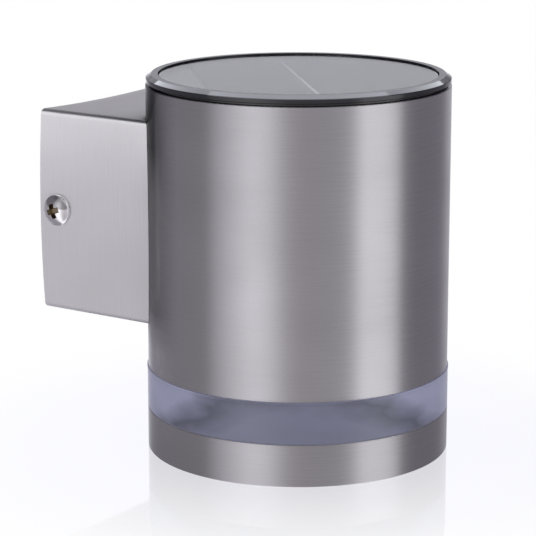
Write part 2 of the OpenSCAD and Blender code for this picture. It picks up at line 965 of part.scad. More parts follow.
module board_screws() {
    color("gainsboro")
        for (side = [-1, 1])
            translate([side * standoff_x, board_y + side * standoff_y, board_top])
                pan_screw(small_screw_d, board_t + standoff_h - gap, small_head_d, small_head_h);
}

module driver_chip() {
    color("black")
        translate([chip_place[0] - chip_size[0] / 2, chip_place[1] - chip_size[1] / 2, board_top])
            cube(chip_size);
}

module boost_inductor() {
    color("darkolivegreen")
        translate([inductor_place[0], inductor_place[1], board_top + inductor_r])
            bar_x(inductor_r, inductor_l);
}

// A round lamp that hangs from the board, with its flange at the top
module led(x) {
    color("lightyellow")
        translate([x, led_y, board_z]) {
            translate([0, 0, -led_flange_h])
                cylinder(r = led_flange_r, h = led_flange_h);
            translate([0, 0, -led_l + led_d / 2])
                cylinder(d = led_d, h = led_l - led_d / 2 - led_flange_h / 2);
            translate([0, 0, -led_l + led_d / 2])
                sphere(d = led_d);
        }
}

module led_left() {
    led(-led_x);
}

module led_right() {
    led(led_x);
}

module switch_housing() {
    color("gray")
        translate([0, switch_y, board_z - switch_body[2] / 2])
            difference() {
                cube(switch_body, center = true);
                translate([0, 0, -switch_body[2] / 2])
                    cube([switch_slot[0], switch_slot[1], 2 * switch_slot[2]], center = true);
            }
}

// The knob starts at the left end of its slot
module switch_knob() {
    top = board_z - switch_body[2] + switch_slot[2] - gap;
    bottom = tray_z - knob_drop;
    color("black")
        translate([-switch_travel / 2 - knob_w / 2, switch_y - knob_t / 2, bottom])
            cube([knob_w, knob_t, top - bottom]);
}

// The battery lies with its button towards +X
module battery() {
    color("olivedrab")
        translate([battery_x, battery_y, battery_z])
            rotate([0, -90, 0]) {
                cylinder(r = button_r, h = battery_l / 2);
                translate([0, 0, button_h])
                    cylinder(r = battery_r, h = battery_l - button_h);
            }
}

// Wound spring on its plate, pressed against the battery's flat end
module battery_spring() {
    from_x = -bay_half_l + contact_t + spring_wire_r - seal_touch;
    to_x = battery_x - battery_l - spring_wire_r - seal_touch;
    rings = spring_turns * spring_steps;
    centres = [
        for (i = [0 : rings])
            let (
                share = i / rings,
                r = spring_big_r + (spring_small_r - spring_big_r) * share,
                a = 360 * i / spring_steps
            )
            [from_x + (to_x - from_x) * share, r * cos(a), r * sin(a)]
    ];
    color("gainsboro")
        translate([0, battery_y, battery_z]) {
            swept_wire(centres, spring_wire_r, [1, 0, 0]);
            translate([-bay_half_l, -contact_w / 2, -contact_h / 2])
                cube([contact_t, contact_w, contact_h]);
        }
}

module battery_contact() {
    color("gainsboro")
        translate([bay_half_l - contact_t, battery_y - contact_w / 2, battery_z - contact_h / 2])
            cube([contact_t, contact_w, contact_h]);
}

module battery_wires() {
    start_x = bay_half_l - contact_t / 2;
    start_y = battery_y - contact_w / 2 + wire_r;
    start_z = battery_z + contact_h / 2;
    color("black")
        lead_pair([
            [start_x, start_y, start_z],
            [start_x, start_y, start_z + battery_wire_bow],
            [battery_wire_end[0], battery_wire_end[1], board_top + battery_wire_bow],
            [battery_wire_end[0], battery_wire_end[1], board_top]
        ]);
}

// Door under the battery: two barrels on the pin and a finger tab on the free edge
module battery_door() {
    barrel_x = door_half_l - door_barrel_l / 2;
    color("slategray")
        difference() {
            union() {
                translate([-door_half_l, door_edge_y, tray_z])
                    cube([2 * door_half_l, hinge_y - barrel_r - gap - door_edge_y, tray_t]);
                for (side = [-1, 1]) {
                    translate([side * barrel_x, hinge_y, hinge_z])
                        bar_x(barrel_r, door_barrel_l);
                    translate([
                        side * barrel_x - door_barrel_l / 2,
                        hinge_y - 2 * barrel_r,
                        tray_z
                    ])
                        cube([door_barrel_l, 2 * barrel_r, tray_t]);
                }
                translate([-tab_w / 2, door_edge_y, tray_z - gap - tab_t])
                    cube([tab_w, tab_root, gap + tab_t + tray_t / 2]);
                translate([-tab_w / 2, door_edge_y - tab_reach, tray_z - gap - tab_t])
                    cube([tab_w, tab_reach + tab_root, tab_t]);
            }
            hinge_bore(pin_r + fit);
        }
}

module door_pin() {
    color("gainsboro")
        translate([0, hinge_y, hinge_z])
            bar_x(pin_r, 2 * (opening_half_l + ear_boss_l));
}

wall_plate();
arm_housing();
arm_screws();
arm_nuts();
side_screws();
side_nuts();
body_tube();
inner_liner();
bottom_ring();
base_plate();
tie_screws();
diffuser();
diffuser_upper_seal();
diffuser_lower_seal();
reflector();
cap_seal();
cap_shell();
solar_window();
solar_cell();
cell_busbar();
cell_wires();
module_tray();
tray_screws();
circuit_board();
board_screws();
driver_chip();
boost_inductor();
led_left();
led_right();
switch_housing();
switch_knob();
battery();
battery_spring();
battery_contact();
battery_wires();
battery_door();
door_pin();
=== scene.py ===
"""Looks for a round solar wall light.

A brushed steel body on a short arm, a frosted light band near the foot, a glossy solar cap on top
and the works inside the cap. Sizes are in millimetres here and become metres in the meshes.
"""

import json
import logging
import math
from collections.abc import Sequence
from dataclasses import dataclass
from enum import Enum

import bmesh
import bpy
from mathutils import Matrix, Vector

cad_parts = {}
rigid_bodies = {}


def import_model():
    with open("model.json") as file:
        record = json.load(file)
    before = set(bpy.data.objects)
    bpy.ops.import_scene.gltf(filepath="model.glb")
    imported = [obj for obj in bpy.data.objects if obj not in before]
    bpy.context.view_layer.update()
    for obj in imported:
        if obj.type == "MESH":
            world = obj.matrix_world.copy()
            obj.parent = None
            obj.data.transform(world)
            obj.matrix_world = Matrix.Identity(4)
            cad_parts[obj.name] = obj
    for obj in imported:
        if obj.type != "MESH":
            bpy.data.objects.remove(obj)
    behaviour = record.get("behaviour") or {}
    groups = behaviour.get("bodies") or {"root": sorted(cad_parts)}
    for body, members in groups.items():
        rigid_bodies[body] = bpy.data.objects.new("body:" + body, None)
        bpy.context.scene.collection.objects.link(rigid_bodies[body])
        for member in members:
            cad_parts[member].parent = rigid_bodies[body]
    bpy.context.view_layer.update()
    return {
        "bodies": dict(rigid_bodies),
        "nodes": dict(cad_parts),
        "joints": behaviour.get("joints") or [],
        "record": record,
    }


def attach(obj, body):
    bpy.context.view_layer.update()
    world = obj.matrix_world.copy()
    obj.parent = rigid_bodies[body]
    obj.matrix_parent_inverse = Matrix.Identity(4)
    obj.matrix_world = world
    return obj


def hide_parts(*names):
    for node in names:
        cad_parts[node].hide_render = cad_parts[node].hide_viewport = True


LOG = logging.getLogger("wall_light")
MM = 0.001
WHITE = (1.0, 1.0, 1.0)
Point2 = tuple[float, float]
Point3 = tuple[float, float, float]
Colour = tuple[float, float, float]
Face = tuple[int, ...]
Socket = bpy.types.NodeSocket
Mesh = bpy.types.Mesh
Object = bpy.types.Object
Material = bpy.types.Material


class Wiring:
    """Adds nodes to one tree and joins them."""

    def __init__(self, tree: bpy.types.NodeTree) -> None:
        """Keeps the tree that the nodes go into."""
        self.tree = tree

    def add(self, kind: str, values: dict | None = None, **settings: object) -> bpy.types.Node:
        """Adds a node.

        Args:
            kind: Blender's name for the kind of node.
            values: Numbers, colours or output sockets for its inputs, by name or by place.
            settings: Options of the node itself.

        Returns:
            The new node.
        """
        node = self.tree.nodes.new(kind)
        for key, value in settings.items():
            setattr(node, key, value)
        for key, value in (values or {}).items():
            self.feed(node.inputs[key], value)
        return node

    def get(self, kind: str, values: dict | None = None, **settings: object) -> Socket:
        """Adds a node and returns its first output."""
        return self.add(kind, values, **settings).outputs[0]

    def feed(self, socket: Socket, value: object) -> None:
        """Joins an output to an input, or sets the input's own value."""
        if isinstance(value, Socket):
            self.tree.links.new(value, socket)
        else:
            socket.default_value = value

    def math(self, operation: str, first: object, second: object = 0.0) -> Socket:
        """Returns the result of a Math node."""
        return self.get("ShaderNodeMath", {0: first, 1: second}, operation=operation)

    def mean(self, first: object, second: object) -> Socket:
        """Returns the mean of two values."""
        return self.math("MULTIPLY", self.math("ADD", first, second), 0.5)

    def vector(self, operation: str, first: object, second: object = (0.0,) * 3) -> Socket:
        """Returns the result of a Vector Math node."""
        return self.get("ShaderNodeVectorMath", {0: first, 1: second}, operation=operation)

    def scaled(self, vector: object, factor: object) -> Socket:
        """Returns a vector times a factor."""
        return self.get("ShaderNodeVectorMath", {0: vector, "Scale": factor}, operation="SCALE")

    def combine(self, **axes: object) -> Socket:
        """Returns a vector from its parts by axis."""
        return self.get("ShaderNodeCombineXYZ", axes)

    def split(self, vector: object) -> bpy.types.bpy_prop_collection:
        """Returns a vector's parts by axis."""
        return self.add("ShaderNodeSeparateXYZ", {0: vector}).outputs

    def span(
        self, value: object, low: object, high: float, start: float = 0.3, end: float = 0.7,
        ease: str = "LINEAR",
    ) -> Socket:
        """Returns a value between start and end moved to between low and high."""
        return self.get("ShaderNodeMapRange", {
            "Value": value, "From Min": start, "From Max": end, "To Min": low, "To Max": high
        }, interpolation_type=ease)

    def ramp(self, value: object, stops: Sequence[tuple[float, Colour]]) -> Socket:
        """Returns the colour that a ramp gives a value."""
        node = self.add("ShaderNodeValToRGB", {"Fac": value})
        elements = node.color_ramp.elements
        while len(elements) > 1:
            elements.remove(elements[-1])
        for i, (place, colour) in enumerate(stops):
            stop = elements[0] if i == 0 else elements.new(place)
            stop.position = place
            stop.color = (*colour, 1.0)
        return node.outputs["Color"]

    def blend(self, share: object, first: object, second: object, kind: str = "MIX") -> Socket:
        """Returns a mix of two colours."""
        node = self.add("ShaderNodeMix", data_type="RGBA", blend_type=kind)
        for place, value in ((0, share), (6, first), (7, second)):
            if isinstance(value, tuple):
                value = (*value, 1.0)
            self.feed(node.inputs[place], value)
        return node.outputs[2]


class FinishGraph(Wiring):
    """The nodes of one material, round its Principled shader."""

    def __init__(self, name: str) -> None:
        """Makes an empty material with its shader and its object coordinates."""
        self.material = bpy.data.materials.new(name)
        self.material.use_nodes = True
        self.material.node_tree.nodes.clear()
        super().__init__(self.material.node_tree)
        self.shader = self.add("ShaderNodeBsdfPrincipled")
        self.out = self.add("ShaderNodeOutputMaterial", {"Surface": self.shader.outputs["BSDF"]})
        self.place = self.add("ShaderNodeTexCoord").outputs["Object"]

    def shade(self, values: dict[str, object]) -> Material:
        """Feeds the shader's inputs by name and returns the finished material."""
        for key, value in values.items():
            self.feed(self.shader.inputs[key], value)
        return self.material

    def axis(self, name: str) -> Socket:
        """Returns the place on the piece along one axis."""
        return self.split(self.place)[name]

    def stretched(self, period: Point3) -> Socket:
        """Returns object coordinates scaled so that one unit is a period in millimetres."""
        scale = tuple(1.0 / (p * MM) for p in period)
        return self.get("ShaderNodeMapping", {"Vector": self.place, "Scale": scale})

    def noise(
        self, period: Point3, detail: float = 2.0, roughness: float = 0.5, warp: float = 0.0
    ) -> Socket:
        """Returns smooth noise with a period in millimetres along each axis."""
        return self.add("ShaderNodeTexNoise", {
            "Vector": self.stretched(period), "Scale": 1.0, "Detail": detail,
            "Roughness": roughness, "Distortion": warp,
        }).outputs["Fac"]

    def cells(
        self, period: Point3, scatter: float = 1.0, distance: str = "EUCLIDEAN"
    ) -> bpy.types.bpy_prop_collection:
        """Returns the outputs of a pattern of cells with a size in millimetres along each axis."""
        return self.add("ShaderNodeTexVoronoi", {
            "Vector": self.stretched(period), "Scale": 1.0, "Randomness": scatter
        }, distance=distance).outputs

    def bump(self, height: object, strength: float, depth: float) -> Socket:
        """Returns a normal bent by a height of so many millimetres."""
        values = {"Height": height, "Strength": strength, "Distance": depth * MM}
        return self.add("ShaderNodeBump", values).outputs["Normal"]


def tinted(colour: Colour, factor: float) -> Colour:
    """Returns a colour made lighter or darker by a factor."""
    return tuple(min(1.0, c * factor) for c in colour)


@dataclass(frozen=True)
class Finish:
    """What every finish has: the name of its material and its colour."""

    name: str
    tint: Colour

    def tone(self, factor: float) -> Colour:
        """Returns the finish's colour made lighter or darker by a factor."""
        return tinted(self.tint, factor)

    def build(self) -> Material:
        """Makes the material."""
        raise NotImplementedError


class Brush(Enum):
    """Which way steel was brushed, and the axis that its tangents go round."""

    ROUND = "Z"
    UPRIGHT = "Y"


@dataclass(frozen=True)
class BrushedSteel(Finish):
    """Steel with fine brush lines that stretch its reflections across them."""

    brush: Brush
    roughness: float
    stretch: float = 1.0
    line: float = 0.17
    run: float = 14.0
    contrast: float = 0.11
    worn_and_highlit_edges: tuple[float, ...] = ()
    worn_and_highlit_width: float = 0.35
    joint: float = 0.0
    # Colour of the painted shade beside the arm.
    joint_shade_tone: Colour = (0.05, 0.05, 0.055)

    def period(self, line: float) -> Point3:
        """Returns the period of lines of a width along each axis."""
        if self.brush is Brush.ROUND:
            return (self.run, self.run, line)
        return (self.run, line, self.run)

    def build(self) -> Material:
        """Makes the material: lines at two widths, slow clouds, edges lightened as wear and painted
        highlight, and painted shade beside the arm.
        """
        g = FinishGraph(self.name)
        fine = g.noise(self.period(self.line), 3.0, 0.6)
        broad = g.noise(self.period(self.line * 3.3), 2.0, 0.6)
        cloud = g.noise((34.0, 34.0, 21.0), 2.0)
        lines = g.mean(fine, broad)
        colour = g.ramp(lines, [
            (0.3, self.tone(1.0 - self.contrast)), (0.5, self.tint),
            (0.7, self.tone(1.0 + self.contrast)),
        ])
        streaks = g.span(lines, self.roughness - 0.05, self.roughness + 0.05)
        height = g.axis("Z")
        # Listed edges get a band of lighter base colour: partly wear, partly a painted highlight
        # along the edge.
        for edge in self.worn_and_highlit_edges:
            away = g.math("ABSOLUTE", g.math("SUBTRACT", height, edge * MM))
            worn_and_highlit = g.span(away, 0.55, 0.0, 0.0, self.worn_and_highlit_width * MM)
            colour = g.blend(worn_and_highlit, colour, self.tone(1.3))
        values = {}
        # Painted shade beside the arm: the base colour goes dark and the edge tint is lowered.
        if self.joint:
            share = self.painted_joint_shade(g)
            colour = g.blend(share, colour, self.joint_shade_tone)
            values["Specular Tint"] = g.blend(share, WHITE, (0.5,) * 3)
        return g.shade(values | {
            "Base Color": colour,
            "Metallic": 1.0,
            "Roughness": g.math("ADD", streaks, g.span(cloud, -0.02, 0.02)),
            "Anisotropic": self.stretch,
            "Anisotropic Rotation": 0.25,
            "Tangent": g.get("ShaderNodeTangent", direction_type="RADIAL", axis=self.brush.value),
            "Normal": g.bump(lines, 0.12, 0.012),
        })

    def painted_joint_shade(self, g: FinishGraph) -> Socket:
        """Returns how strongly painted shade darkens the steel beside the arm, by distance from the
        arm and by height.
        """
        aside = g.math("SUBTRACT", g.math("ABSOLUTE", g.axis("X")), self.joint * MM)
        near = g.span(aside, 1.0, 0.0, 5.0 * MM, 10.0 * MM)
        behind = g.span(g.axis("Y"), 0.0, 1.0, 0.0, 8.0 * MM)
        height = g.span(g.axis("Z"), 0.0, 1.0, 0.0, 100.0 * MM)
        # How strong the painted shade beside the arm is at each height.
        dust_and_shade = g.ramp(height, [
            (place, (amount,) * 3) for place, amount in (
                (0.27, 0.0), (0.37, 0.72), (0.68, 0.8), (0.78, 1.0), (0.84, 0.95), (0.93, 0.8)
            )
        ])
        return g.math("MULTIPLY", g.math("MULTIPLY", near, behind), dust_and_shade)


@dataclass(frozen=True)
class PolishedSteel(Finish):
    """Bright metal with hairline scratches and a little haze."""

    roughness: float
    haze: float = 0.08

    def build(self) -> Material:
        """Makes the material: haze in clouds and scratches two ways."""
        g = FinishGraph(self.name)
        haze = g.noise((1.6,) * 3, 4.0, 0.6)
        marks = g.mean(g.noise((0.9, 0.05, 0.9), 2.0), g.noise((0.05, 1.1, 0.9), 2.0))
        return g.shade({
            "Base Color": g.ramp(haze, [(0.3, self.tone(0.9)), (0.7, self.tint)]),
            "Metallic": 1.0,
            "Roughness": g.span(haze, self.roughness, self.roughness + self.haze),
            "Normal": g.bump(marks, 0.06, 0.01),
        })


@dataclass(frozen=True)
class SheetSteel(Finish):
    """Zinc-coated sheet with a faint crystal pattern."""

    def build(self) -> Material:
        """Makes the material: flat crystals of slightly different tones and roughness."""
        g = FinishGraph(self.name)
        tone = g.split(g.cells((3.2,) * 3)["Color"])["X"]
        rolled = g.noise((0.3, 20.0, 20.0), 3.0)
        mixed = g.mean(tone, rolled)
        return g.shade({
            "Base Color": g.ramp(mixed, [(0.2, self.tone(0.82)), (0.8, self.tint)]),
            "Metallic": 1.0,
            "Roughness": g.span(mixed, 0.3, 0.48, 0.2, 0.8),
            "Normal": g.bump(rolled, 0.08, 0.01),
        })


@dataclass(frozen=True)
class MouldedPlastic(Finish):
    """Moulded plastic with a fine surface texture."""

    roughness: float
    texture: float = 0.35
    relief: float = 0.02
    index: float = 1.5

    def build(self) -> Material:
        """Makes the material: texture of a set size, flow clouds and handling marks."""
        g = FinishGraph(self.name)
        grain = g.noise((self.texture,) * 3, 3.0, 0.65)
        flow = g.noise((18.0, 18.0, 9.0), 2.0)
        marks = g.span(
            g.noise((9.0, 0.7, 7.0), 3.0, 0.7, 0.4), self.roughness - 0.04, self.roughness + 0.05
        )
        return g.shade({
            "Base Color": g.ramp(flow, [(0.3, self.tone(0.88)), (0.7, self.tone(1.1))]),
            "Roughness": g.math("ADD", marks, g.span(grain, -0.03, 0.03)),
            "IOR": self.index,
            "Normal": g.bump(grain, 0.2, self.relief),
        })


@dataclass(frozen=True)
class FrostedBand(Finish):
    """Frosted translucent plastic of the light band."""

    low: float
    slant: float

    def build(self) -> Material:
        """Makes the material: frost grain over painted light and shade, a dark band and bright ends
        set by how the surface faces the view and by height.
        """
        g = FinishGraph(self.name)
        frost = g.noise((0.16,) * 3, 3.0, 0.7)
        flow = g.noise((26.0, 26.0, 7.0), 2.0)
        # Painted light and shade: the tone ramp below darkens a band and brightens the ends,
        # standing in for shade inside the band and light through its wall.
        facing = g.add("ShaderNodeLayerWeight", {"Blend": 0.5}).outputs["Facing"]
        turn = g.math("ARCCOSINE", g.math("SUBTRACT", 1.0, facing))
        lift = g.math("MULTIPLY", g.math("SUBTRACT", g.axis("Z"), self.low * MM), self.slant / MM)
        drift = g.span(g.noise((11.0, 11.0, 5.0), 2.0), -0.09, 0.09)
        depth = g.math("ADD", g.math("ADD", turn, lift), drift)
        level = g.span(depth, 0.0, 1.0, math.radians(20.0), math.radians(110.0))
        tone = g.ramp(level, [
            (place, self.tone(factor)) for place, factor in (
                (0.0, 0.95), (0.2, 1.0), (0.4, 0.52), (0.6, 1.75), (1.0, 1.9)
            )
        ])
        return g.shade({
            "Base Color": g.blend(g.span(flow, 0.0, 0.25), tone, self.tone(0.7)),
            "Roughness": g.span(frost, 0.27, 0.34),
            "IOR": 1.49,
            "Transmission Weight": 0.1,
            "Normal": g.bump(frost, 0.1, 0.01),
        })


@dataclass(frozen=True)
class ClearPlate(Finish):
    """Clear plate with a mirror gloss."""

    def build(self) -> Material:
        """Makes the material: faint wipe marks and a slow wave in the surface."""
        g = FinishGraph(self.name)
        wave = g.noise((22.0,) * 3, 1.0)
        wipe = g.noise((14.0, 0.8, 3.0), 3.0, 0.6, 0.5)
        dust_and_shade = g.noise((0.5,) * 3, 2.0, 0.7)
        rough = g.math("ADD", g.span(wipe, 0.02, 0.05), g.span(dust_and_shade, 0.0, 0.03, 0.62, 0.8))
        return g.shade({
            "Base Color": g.ramp(wave, [(0.3, self.tone(0.96)), (0.7, self.tint)]),
            "Roughness": rough,
            "IOR": 1.5,
            "Transmission Weight": 1.0,
            "Normal": g.bump(wave, 0.08, 0.05),
        })


@dataclass(frozen=True)
class Silicon(Finish):
    """Dark cell with crystal flakes of slightly different tones."""

    def build(self) -> Material:
        """Makes the material: large soft flakes, and a fine texture in the coating."""
        g = FinishGraph(self.name)
        fine = g.noise((0.4,) * 3, 3.0)
        mixed = g.mean(g.split(g.cells((7.0,) * 3)["Color"])["Y"], fine)
        return g.shade({
            "Base Color": g.ramp(mixed, [(0.2, self.tone(0.8)), (0.8, self.tint)]),
            "Roughness": g.span(fine, 0.42, 0.55),
            "IOR": 1.2,
            "Normal": g.bump(fine, 0.1, 0.01),
        })


@dataclass(frozen=True)
class CircuitLacquer(Finish):
    """Green board with tracks under its lacquer."""

    def build(self) -> Material:
        """Makes the material: tracks between cells, glass weave and a glossy lacquer."""
        g = FinishGraph(self.name)
        islands = g.cells((4.5, 4.5, 60.0), 0.7, "MANHATTAN")["Distance"]
        edge = g.math("LESS_THAN", islands, 0.42)
        weave = g.noise((0.5,) * 3, 1.0)
        return g.shade({
            "Base Color": g.blend(g.math("MULTIPLY", edge, 0.6), self.tint, self.tone(1.9)),
            "Roughness": g.span(weave, 0.22, 0.34),
            "Normal": g.bump(g.math("ADD", edge, weave), 0.15, 0.04),
        })


@dataclass(frozen=True)
class BandedSleeve(Finish):
    """Plastic sleeve of the battery with plain colour bands and bare ends."""

    band: Colour
    metal: Colour
    half_length: float

    def build(self) -> Material:
        """Makes the material: bands along X, bare metal past the sleeve's ends."""
        g = FinishGraph(self.name)
        along = g.axis("X")
        grain = g.noise((0.6,) * 3, 3.0)
        band = g.math("GREATER_THAN", along, 0.45 * self.half_length * MM)
        bare = g.math("GREATER_THAN", g.math("ABSOLUTE", along), self.half_length * MM)
        return g.shade({
            "Base Color": g.blend(bare, g.blend(band, self.tint, self.band), self.metal),
            "Metallic": bare,
            "Roughness": g.span(grain, 0.24, 0.36),
            "Normal": g.bump(grain, 0.06, 0.02),
        })


@dataclass(frozen=True)
class WoundWinding(Finish):
    """A part wound or ribbed along X under a thin coat."""

    pitch: float

    def build(self) -> Material:
        """Makes the material: turns of wire that show through the coat."""
        g = FinishGraph(self.name)
        values = {"Vector": g.stretched((self.pitch,) * 3), "Scale": 1.0, "Distortion": 0.2}
        turns = g.add("ShaderNodeTexWave", values, bands_direction="X").outputs["Fac"]
        return g.shade({
            "Base Color": g.ramp(turns, [(0.1, self.tone(0.6)), (0.9, self.tint)]),
            "Roughness": g.span(turns, 0.25, 0.4, 0.0, 1.0),
            "Normal": g.bump(turns, 0.5, 0.08),
        })


@dataclass(frozen=True)
class LampLens(Finish):
    """Clear resin of a lamp, warm where its chip sits."""

    chip: Colour
    chip_height: float
    fade: float = 2.5

    def build(self) -> Material:
        """Makes the material: clear resin that grows warmer towards the flange."""
        g = FinishGraph(self.name)
        start, end = (self.chip_height - self.fade) * MM, self.chip_height * MM
        haze = g.noise((0.8,) * 3, 2.0)
        return g.shade({
            "Base Color": g.blend(
                g.span(g.axis("Z"), 0.0, 1.0, start, end), self.tint, self.chip
            ),
            "Roughness": g.span(haze, 0.05, 0.12),
            "IOR": 1.5,
            "Transmission Weight": 0.75,
            "Normal": g.bump(haze, 0.05, 0.02),
        })


class FinishRack:
    """Makes each finish once, by the name of the record's material slot."""

    STEEL = (0.63, 0.618, 0.64)
    SLOTS = {
        "brushed_tube": BrushedSteel(
            "steel_brushed_round_tube", STEEL, Brush.ROUND, 0.38, worn_and_highlit_edges=(21.1, 92.6),
            joint=26.5,
        ),
        # The foot's steel is the tube's steel made darker: painted shade that damps its highlights.
        "brushed_ring": BrushedSteel(
            "steel_brushed_round_foot", tinted(STEEL, 0.94), Brush.ROUND, 0.4,
            worn_and_highlit_edges=(0.0, 10.6),
        ),
        # The arm's steel is a much lighter copy of the tube's steel: painted light on the arm.
        "brushed_arm": BrushedSteel(
            "steel_brushed_upright_arm", (0.82, 0.81, 0.835), Brush.UPRIGHT, 0.5, contrast=0.06
        ),
        "plate_steel": SheetSteel("steel_zinc_coated", (0.62, 0.63, 0.65)),
        "screw_steel": PolishedSteel("steel_screws", (0.62, 0.61, 0.6), 0.2),
        "polished_screw": PolishedSteel("steel_side_screws", (0.85, 0.84, 0.86), 0.03, 0.05),
        "screw_recess": PolishedSteel("steel_in_the_cross", (0.34, 0.28, 0.19), 0.3),
        "black_gloss": MouldedPlastic(
            "plastic_black_gloss", (0.006, 0.006, 0.009), 0.07, 2.0, 0.005, 1.55
        ),
        "black_plastic": MouldedPlastic(
            "plastic_black_fine", (0.022, 0.022, 0.024), 0.48, 0.3, 0.05
        ),
        "dark_plastic": MouldedPlastic("plastic_dark_satin", (0.05, 0.05, 0.055), 0.4, 0.4, 0.04),
        "white_plastic": MouldedPlastic("plastic_white", (0.82, 0.82, 0.81), 0.25),
        "frosted_plastic": FrostedBand("plastic_frosted_band", (0.165, 0.17, 0.245), 11.8, 0.052),
        "black_rubber": MouldedPlastic("rubber_black", (0.016, 0.016, 0.017), 0.62, 0.2, 0.03),
        "grey_rubber": MouldedPlastic("rubber_grey", (0.13, 0.135, 0.19), 0.45, 0.2, 0.03),
        "clear_window": ClearPlate("plate_clear", (0.96, 0.97, 1.0)),
        "solar_cell": Silicon("cell_silicon", (0.016, 0.018, 0.032)),
        "tinned_strip": PolishedSteel("strip_tinned", (0.97, 0.97, 0.98), 0.06, 0.06),
        "board_green": CircuitLacquer("board_lacquer", (0.02, 0.12, 0.05)),
        "chip_black": MouldedPlastic("resin_chip", (0.02, 0.02, 0.021), 0.42, 0.15, 0.02),
        "inductor_green": WoundWinding("coil_winding", (0.12, 0.25, 0.09), 0.5),
        "lamp_lens": LampLens("lamp_resin", (0.95, 0.95, 0.93), (0.85, 0.62, 0.12), 72.6),
        "battery_sleeve": BandedSleeve(
            "battery_sleeve", (0.05, 0.22, 0.09), (0.72, 0.72, 0.74), (0.66, 0.64, 0.6), 24.3
        ),
        "nickel": PolishedSteel("nickel_contacts", (0.7, 0.66, 0.58), 0.22),
        "red_wire": MouldedPlastic("sleeve_red", (0.42, 0.02, 0.02), 0.35, 0.5, 0.02),
        "black_wire": MouldedPlastic("sleeve_black", (0.02, 0.02, 0.02), 0.35, 0.5, 0.02),
    }

    def __init__(self) -> None:
        """Starts with no finish made."""
        self.made: dict[str, Material] = {}

    def take(self, slot: str) -> Material:
        """Returns the material of a slot, making it the first time."""
        if slot not in self.made:
            self.made[slot] = self.SLOTS[slot].build()
        return self.made[slot]


def add_object(name: str, mesh: Mesh) -> Object:
    """Puts a mesh into the scene as an object at the origin."""
    piece = bpy.data.objects.new(name, mesh)
    bpy.context.scene.collection.objects.link(piece)
    return piece


def mesh_from(
    name: str,
    points: Sequence[Sequence[float]],
    faces: Sequence[Sequence[int]] = (),
    edges: Sequence[Sequence[int]] = (),
) -> Mesh:
    """Makes a mesh from points in millimetres."""
    mesh = bpy.data.meshes.new(name)
    mesh.from_pydata([tuple(c * MM for c in p) for p in points], edges, faces)
    return mesh


def smooth(mesh: Mesh, crease: float) -> None:
    """Shades a mesh smoothly and leaves edges from an angle in degrees sharp."""
    mesh.shade_smooth()
    mesh.set_sharp_from_angle(angle=math.radians(crease))


def clean_mesh(mesh: Mesh, crease: float) -> None:
    """Merges doubles, turns the faces outwards and shades smoothly up to an angle."""
    work = bmesh.new()
    work.from_mesh(mesh)
    bmesh.ops.remove_doubles(work, verts=work.verts, dist=0.0005 * MM)
    bmesh.ops.dissolve_degenerate(work, edges=work.edges, dist=0.0002 * MM)
    bmesh.ops.recalc_face_normals(work, faces=work.faces)
    work.to_mesh(mesh)
    work.free()
    smooth(mesh, crease)


def keep_result(piece: Object, modifier: bpy.types.Modifier) -> None:
    """Makes what a modifier gives the object's own mesh and removes the modifier."""
    bpy.context.view_layer.update()
    shaped = piece.evaluated_get(bpy.context.evaluated_depsgraph_get())
    mesh = bpy.data.meshes.new_from_object(shaped)
    piece.modifiers.remove(modifier)
    piece.data = mesh


def turned(x: float, y: float, angle: float) -> Point2:
    """Returns a place turned about the origin by an angle in radians."""
    c, s = math.cos(angle), math.sin(angle)
    return (x * c - y * s, x * s + y * c)


def quads(rows: int, n: int, closed: bool = False) -> list[Face]:
    """Returns the faces between rows of n points.

    Args:
        rows: Number of rows, each of which closes on itself.
        n: Points in a row.
        closed: Whether the last row joins the first; otherwise both ends get a face.

    Returns:
        The faces as numbers of points.
    """
    faces = [
        (j * n + i, j * n + (i + 1) % n, (j + 1) % rows * n + (i + 1) % n, (j + 1) % rows * n + i)
        for j in range(rows if closed else rows - 1) for i in range(n)
    ]
    last = (rows - 1) * n
    return faces if closed else [*faces, tuple(range(n)), tuple(range(last, last + n))]


def rounded_outline(
    corners: Sequence[Sequence[float]], radius: float, steps: int = 4, hold: float = 0.25
) -> list[Point2]:
    """Rounds a closed outline's corners and holds the flats beside them.

    Args:
        corners: Places in millimetres, each with an optional third number, its own radius.
        radius: Radius of the other corners.
        steps: Edges in each rounding.
        hold: Distance from a rounding to the extra point that keeps the flat beside it flat.

    Returns:
        The outline's points, in the same order.
    """
    points: list[Vector] = []
    count = len(corners)
    for i, corner in enumerate(corners):
        here = Vector(corner[:2])
        back = Vector(corners[i - 1][:2]) - here
        ahead = Vector(corners[(i + 1) % count][:2]) - here
        room = min(back.length, ahead.length) / 2
        cut = min(corner[2] if len(corner) > 2 else radius, room * 0.9)
        held = min(cut + hold, room)
        back.normalize()
        ahead.normalize()
        points.append(here + back * held)
        for t in (k / steps for k in range(steps + 1)):
            points.append(here + back * cut * (1 - t) ** 2 + ahead * cut * t * t)
        points.append(here + ahead * held)
    kept = [p for i, p in enumerate(points) if (p - points[i - 1]).length > 1e-4]
    return [(p.x, p.y) for p in kept]


